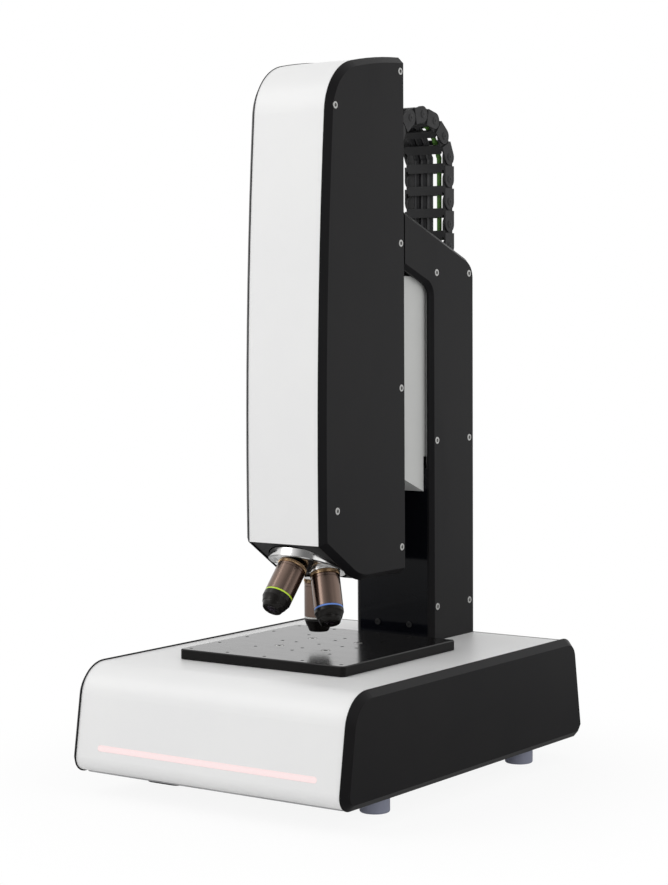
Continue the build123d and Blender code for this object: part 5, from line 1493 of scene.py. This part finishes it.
@dataclass
class CableBends:
    """Short bends that carry the cables over the top pin of the rear leg, where the arc of the chain rolls.

    The places are each cable's distance from the middle plane and its radius.
    """

    places: tuple[tuple[float, float], ...] = (
        (-0.012, 0.0035), (-0.0045, 0.0035), (0.003, 0.0025), (0.0128, 0.00225),
    )
    leg_rest_y: float = 151.27 * MM
    arc_rest_y: float = 149.7 * MM
    leg_top_z: float = 557.0 * MM
    arc_low_z: float = 559.4 * MM
    arc_lean: float = 0.27
    cover: float = 1.6 * MM
    sleeve: float = 0.08 * MM
    segments: int = 32
    steps: int = 10

    def path(self, radius: float) -> list[Vector]:
        """Middle line of a smooth bend, from the leg's cable into the arc's cable.

        Args:
            radius: the cable's radius.

        Returns:
            Points in the middle plane.
        """
        climb = Vector((0.0, 0.0, self.cover))
        lean = Vector((0.0, -self.arc_lean, (1 - self.arc_lean ** 2) ** 0.5)) * self.cover
        foot = Vector((0.0, self.leg_rest_y + radius, self.leg_top_z))
        head = Vector((0.0, self.arc_rest_y + radius, self.arc_low_z))
        handles = (foot, foot + climb, head - lean, head)
        spots = [foot - climb]
        for step in range(self.steps + 1):
            t = step / self.steps
            weights = ((1 - t) ** 3, 3 * t * (1 - t) ** 2, 3 * t * t * (1 - t), t ** 3)
            spots.append(sum((handle * weight for handle, weight in zip(handles, weights)), Vector()))
        return spots + [head + lean]

    def rings(self, across: float, radius: float) -> list[list[Vector]]:
        """Rings of points round the middle line.

        Args:
            across: the cable's distance from the middle plane.
            radius: its radius.

        Returns:
            One ring for each point of the line.
        """
        path = self.path(radius)
        side = Vector((1.0, 0.0, 0.0))
        turns = [2 * pi * step / self.segments for step in range(self.segments)]
        made = []
        for index, spot in enumerate(path):
            ahead = (path[min(index + 1, len(path) - 1)] - path[max(index - 1, 0)]).normalized()
            out = ahead.cross(side)
            centre = spot + side * across
            reach = radius + self.sleeve
            made.append([centre + (side * cos(turn) + out * sin(turn)) * reach for turn in turns])
        return made

    def build(self, finishes: Finishes) -> None:
        """Make one bend for each cable.

        Args:
            finishes: the finishes of the microscope.
        """
        for number, (across, radius) in enumerate(self.places, start=1):
            jacket = finishes.by_slot[Slot.JACKETS]
            piece = skinned(f"cable_bend_{number}", self.rings(across, radius), jacket)
            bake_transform(piece)
            log.info("%s: %d faces from stand to cable_loop", piece.name, len(piece.data.polygons))


@dataclass
class BoardParts:
    """Packages soldered on the control board."""

    side: float = 7.0 * MM
    height: float = 1.4 * MM
    columns: int = 4
    rows: int = 5
    pitch: float = 13.0 * MM
    board_rise: float = 7.6 * MM

    def build(self, finishes: Finishes) -> None:
        """Make the packages on the open part of the board.

        Args:
            finishes: the finishes of the microscope.
        """
        low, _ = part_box("control_board")
        middle_z = low.z + self.board_rise + self.height / 2
        xs = [low.x + self.pitch * step for step in range(1, self.columns + 1)]
        ys = [low.y + self.pitch * step for step in range(1, self.rows + 1)]
        seats = [(Vector((x, y, middle_z)), (0.0, 0.0, pi / 4)) for x in xs for y in ys]
        tree = ChipTree("board_chip", {"Side": self.side, "Height": self.height}, finishes.chip)
        finished(tree.grow("board_chips", seats), "stand", Slot.BLACK_PLASTIC)


@dataclass
class LevellingPad:
    """Square rubber pad under the front left corner, wider than the round feet."""

    half_side: float = 19.5 * MM
    corner: float = 8.0 * MM
    edge: float = 1.2 * MM
    edge_break: float = 0.3
    corner_steps: int = 10

    def outline(self, inset: float) -> list[tuple[float, float]]:
        """Corners of the rounded square.

        Args:
            inset: how far the outline is drawn in.

        Returns:
            Points in X and Y from the middle of the pad.
        """
        reach, corner = self.half_side - self.corner, self.corner - inset
        spots = []
        for quarter in range(4):
            middle = pi / 4 + quarter * pi / 2
            centre = (reach * copysign(1, cos(middle)), reach * copysign(1, sin(middle)))
            for step in range(self.corner_steps + 1):
                turn = quarter * pi / 2 + pi / 2 * step / self.corner_steps
                spots.append((centre[0] + corner * cos(turn), centre[1] + corner * sin(turn)))
        return spots

    def build(self, finishes: Finishes) -> None:
        """Make the pad in the place of the carried-over foot.

        Args:
            finishes: the finishes of the microscope.
        """
        low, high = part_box("levelling_foot")
        centre = (low + high) / 2
        shoulder = self.edge_break * self.edge
        levels = [
            (self.edge, low.z), (shoulder, low.z + shoulder), (0.0, low.z + self.edge), (0.0, high.z),
        ]
        rings = [
            [Vector((centre.x + x, centre.y + y, height)) for x, y in self.outline(inset)]
            for inset, height in levels
        ]
        piece = skinned("levelling_pad", rings, finishes.by_slot[Slot.BLACK_RUBBER])
        finished(piece, "stand", Slot.BLACK_RUBBER, "levelling_foot")


@dataclass
class Studio:
    """Floor, lamps, background and camera."""

    lens: float = 87.35
    sensor: float = 36.0
    camera_place: Triple = (1.09743, -1.55429, 0.41409)
    yaw: float = 0.615201261
    pitch: float = -0.0606310352
    roll: float = -0.00560420987
    floor_side: float = 14.0
    sky: float = 0.72
    dark_side: float = 0.8
    dark_towards: tuple[float, float] = (0.8, -0.6)
    # Strength of the floor in reflections near the object: painted shade.
    near_reflection_painted_shade: float = 0.35
    reflection_reach: tuple[float, float] = (0.3, 2.2)
    floor_white: float = 0.95
    shadow_share: float = 0.1
    shadow_reach: tuple[float, float] = (0.2, 0.42)
    key_place: Triple = (-1.3, -1.5, 1.9)
    key_side: float = 1.6
    key_power: float = 16.0
    fill_place: Triple = (1.9, -0.6, 1.1)
    fill_side: float = 1.4
    fill_power: float = 6.0
    lamp_target: Triple = (0.0, 0.0, 0.3)

    def build(self) -> None:
        """Set up the studio."""
        self.build_floor()
        self.build_world()
        self.build_lamp("key_softbox", self.key_place, self.key_side, self.key_power)
        self.build_lamp("fill_softbox", self.fill_place, self.fill_side, self.fill_power)
        self.build_camera()

    def build_floor(self) -> None:
        """Lay a plain white floor that keeps the shadow near the feet, and that shows dimmer in reflections near
        the object: painted shade.
        """
        graph = ShaderGraph("studio_floor")
        across, along, _ = graph.parts(graph.place)
        reach = (across * across + along * along).root()
        white = (1.0, 1.0, 1.0, 1.0)
        paint = (self.floor_white, self.floor_white, self.floor_white, 1.0)
        matt = graph.node("ShaderNodeBsdfDiffuse", {}, {"Color": paint})
        glow = graph.node("ShaderNodeEmission", {}, {"Color": white, "Strength": 1.0})
        # Dimmer floor in reflections near the object: painted shade.
        dim = graph.node("ShaderNodeEmission", {}, {"Color": white, "Strength": self.near_reflection_painted_shade})
        path = graph.node("ShaderNodeLightPath", {}, {})
        glossy = Term(graph, path.outputs["Is Glossy Ray"])
        near = glossy * (1 - reach.between(*self.reflection_reach))
        shine = graph.node("ShaderNodeMixShader", {}, {0: near, 1: glow.outputs[0], 2: dim.outputs[0]})
        seen = graph.maths("MAXIMUM", Term(graph, path.outputs["Is Camera Ray"]), glossy)
        share = seen * (1 - self.shadow_share + reach.between(*self.shadow_reach) * self.shadow_share)
        sockets = {0: share, 1: matt.outputs[0], 2: shine.outputs[0]}
        mixed = graph.node("ShaderNodeMixShader", {}, sockets)
        graph.node("ShaderNodeOutputMaterial", {}, {"Surface": mixed.outputs[0]})
        half = self.floor_side / 2
        mesh = bpy.data.meshes.new("studio_floor")
        corners = [(-half, -half, 0), (half, -half, 0), (half, half, 0), (-half, half, 0)]
        mesh.from_pydata(corners, [], [(0, 1, 2, 3)])
        mesh.materials.append(graph.material)
        linked("studio_floor", mesh)

    def build_world(self) -> None:
        """Surround the scene with plain light, white to the camera and dimmer to reflections on one side."""
        world = bpy.data.worlds.new("studio")
        world.use_nodes = True
        world.node_tree.nodes.clear()
        graph = Graph(world.node_tree)
        path = graph.node("ShaderNodeLightPath", {}, {})
        seen = graph.maths("MAXIMUM", Term(graph, path.outputs["Is Camera Ray"]),
                           Term(graph, path.outputs["Is Transmission Ray"]))
        place = graph.node("ShaderNodeTexCoord", {}, {}).outputs["Generated"]
        east, north, _ = graph.parts(place)
        dark_side = (east * self.dark_towards[0] + north * self.dark_towards[1]).between(0.1, 0.8)
        glossy = Term(graph, path.outputs["Is Glossy Ray"])
        strength = self.sky + (seen + glossy) * (1.0 - self.sky) - glossy * dark_side * self.dark_side
        sky = graph.node("ShaderNodeBackground", {}, {"Color": (1.0, 1.0, 1.0, 1.0), "Strength": strength})
        graph.node("ShaderNodeOutputWorld", {}, {0: sky.outputs[0]})
        bpy.context.scene.world = world

    def build_lamp(self, name: str, place: Triple, side: float, power: float) -> None:
        """Hang a soft square lamp that faces the object.

        Args:
            name: the lamp's name.
            place: its centre.
            side: its width.
            power: its power in watts.
        """
        light = bpy.data.lights.new(name, "AREA")
        light.size = side
        light.energy = power
        made = bpy.data.objects.new(name, light)
        made.location = place
        towards = Vector(self.lamp_target) - Vector(place)
        made.rotation_euler = towards.to_track_quat("-Z", "Y").to_euler()
        bpy.context.scene.collection.objects.link(made)

    def build_camera(self) -> None:
        """Set the camera where the photograph was taken from."""
        forward = Vector((-sin(self.yaw) * cos(self.pitch), cos(self.yaw) * cos(self.pitch), sin(self.pitch)))
        right = Vector((cos(self.yaw), sin(self.yaw), 0.0))
        up = right.cross(forward)
        level = right * cos(self.roll) + up * sin(self.roll)
        upright = up * cos(self.roll) - right * sin(self.roll)
        data = bpy.data.cameras.new("camera")
        data.sensor_fit = "VERTICAL"
        data.sensor_height = self.sensor
        data.lens = self.lens
        data.clip_start = 0.05
        data.clip_end = 50.0
        made = bpy.data.objects.new("camera", data)
        turn = Matrix((level, upright, -forward)).transposed().to_4x4()
        made.matrix_world = Matrix.Translation(self.camera_place) @ turn
        bpy.context.scene.collection.objects.link(made)
        bpy.context.scene.camera = made


def main() -> None:
    """Build and dress the microscope, then set up the studio."""
    logging.basicConfig(level=logging.INFO, format="%(name)s: %(message)s")
    scene = bpy.context.scene
    scene.view_settings.view_transform = "Standard"
    finishes = Finishes()
    for subpart in frame["record"]["subparts"]:
        finishes.dress(subpart["node"], Slot(subpart["material_slot"]))
    SideScrews().build(finishes)
    StageScrews().build(finishes)
    Turret(Vector((0.0, WORK_Y, TURRET_APEX_Z)), TURRET_TILT).build(finishes)
    CableChain().build(finishes)
    CableBends().build(finishes)
    BoardParts().build(finishes)
    LevellingPad().build(finishes)
    Studio().build()


if __name__ == "__main__":
    main()
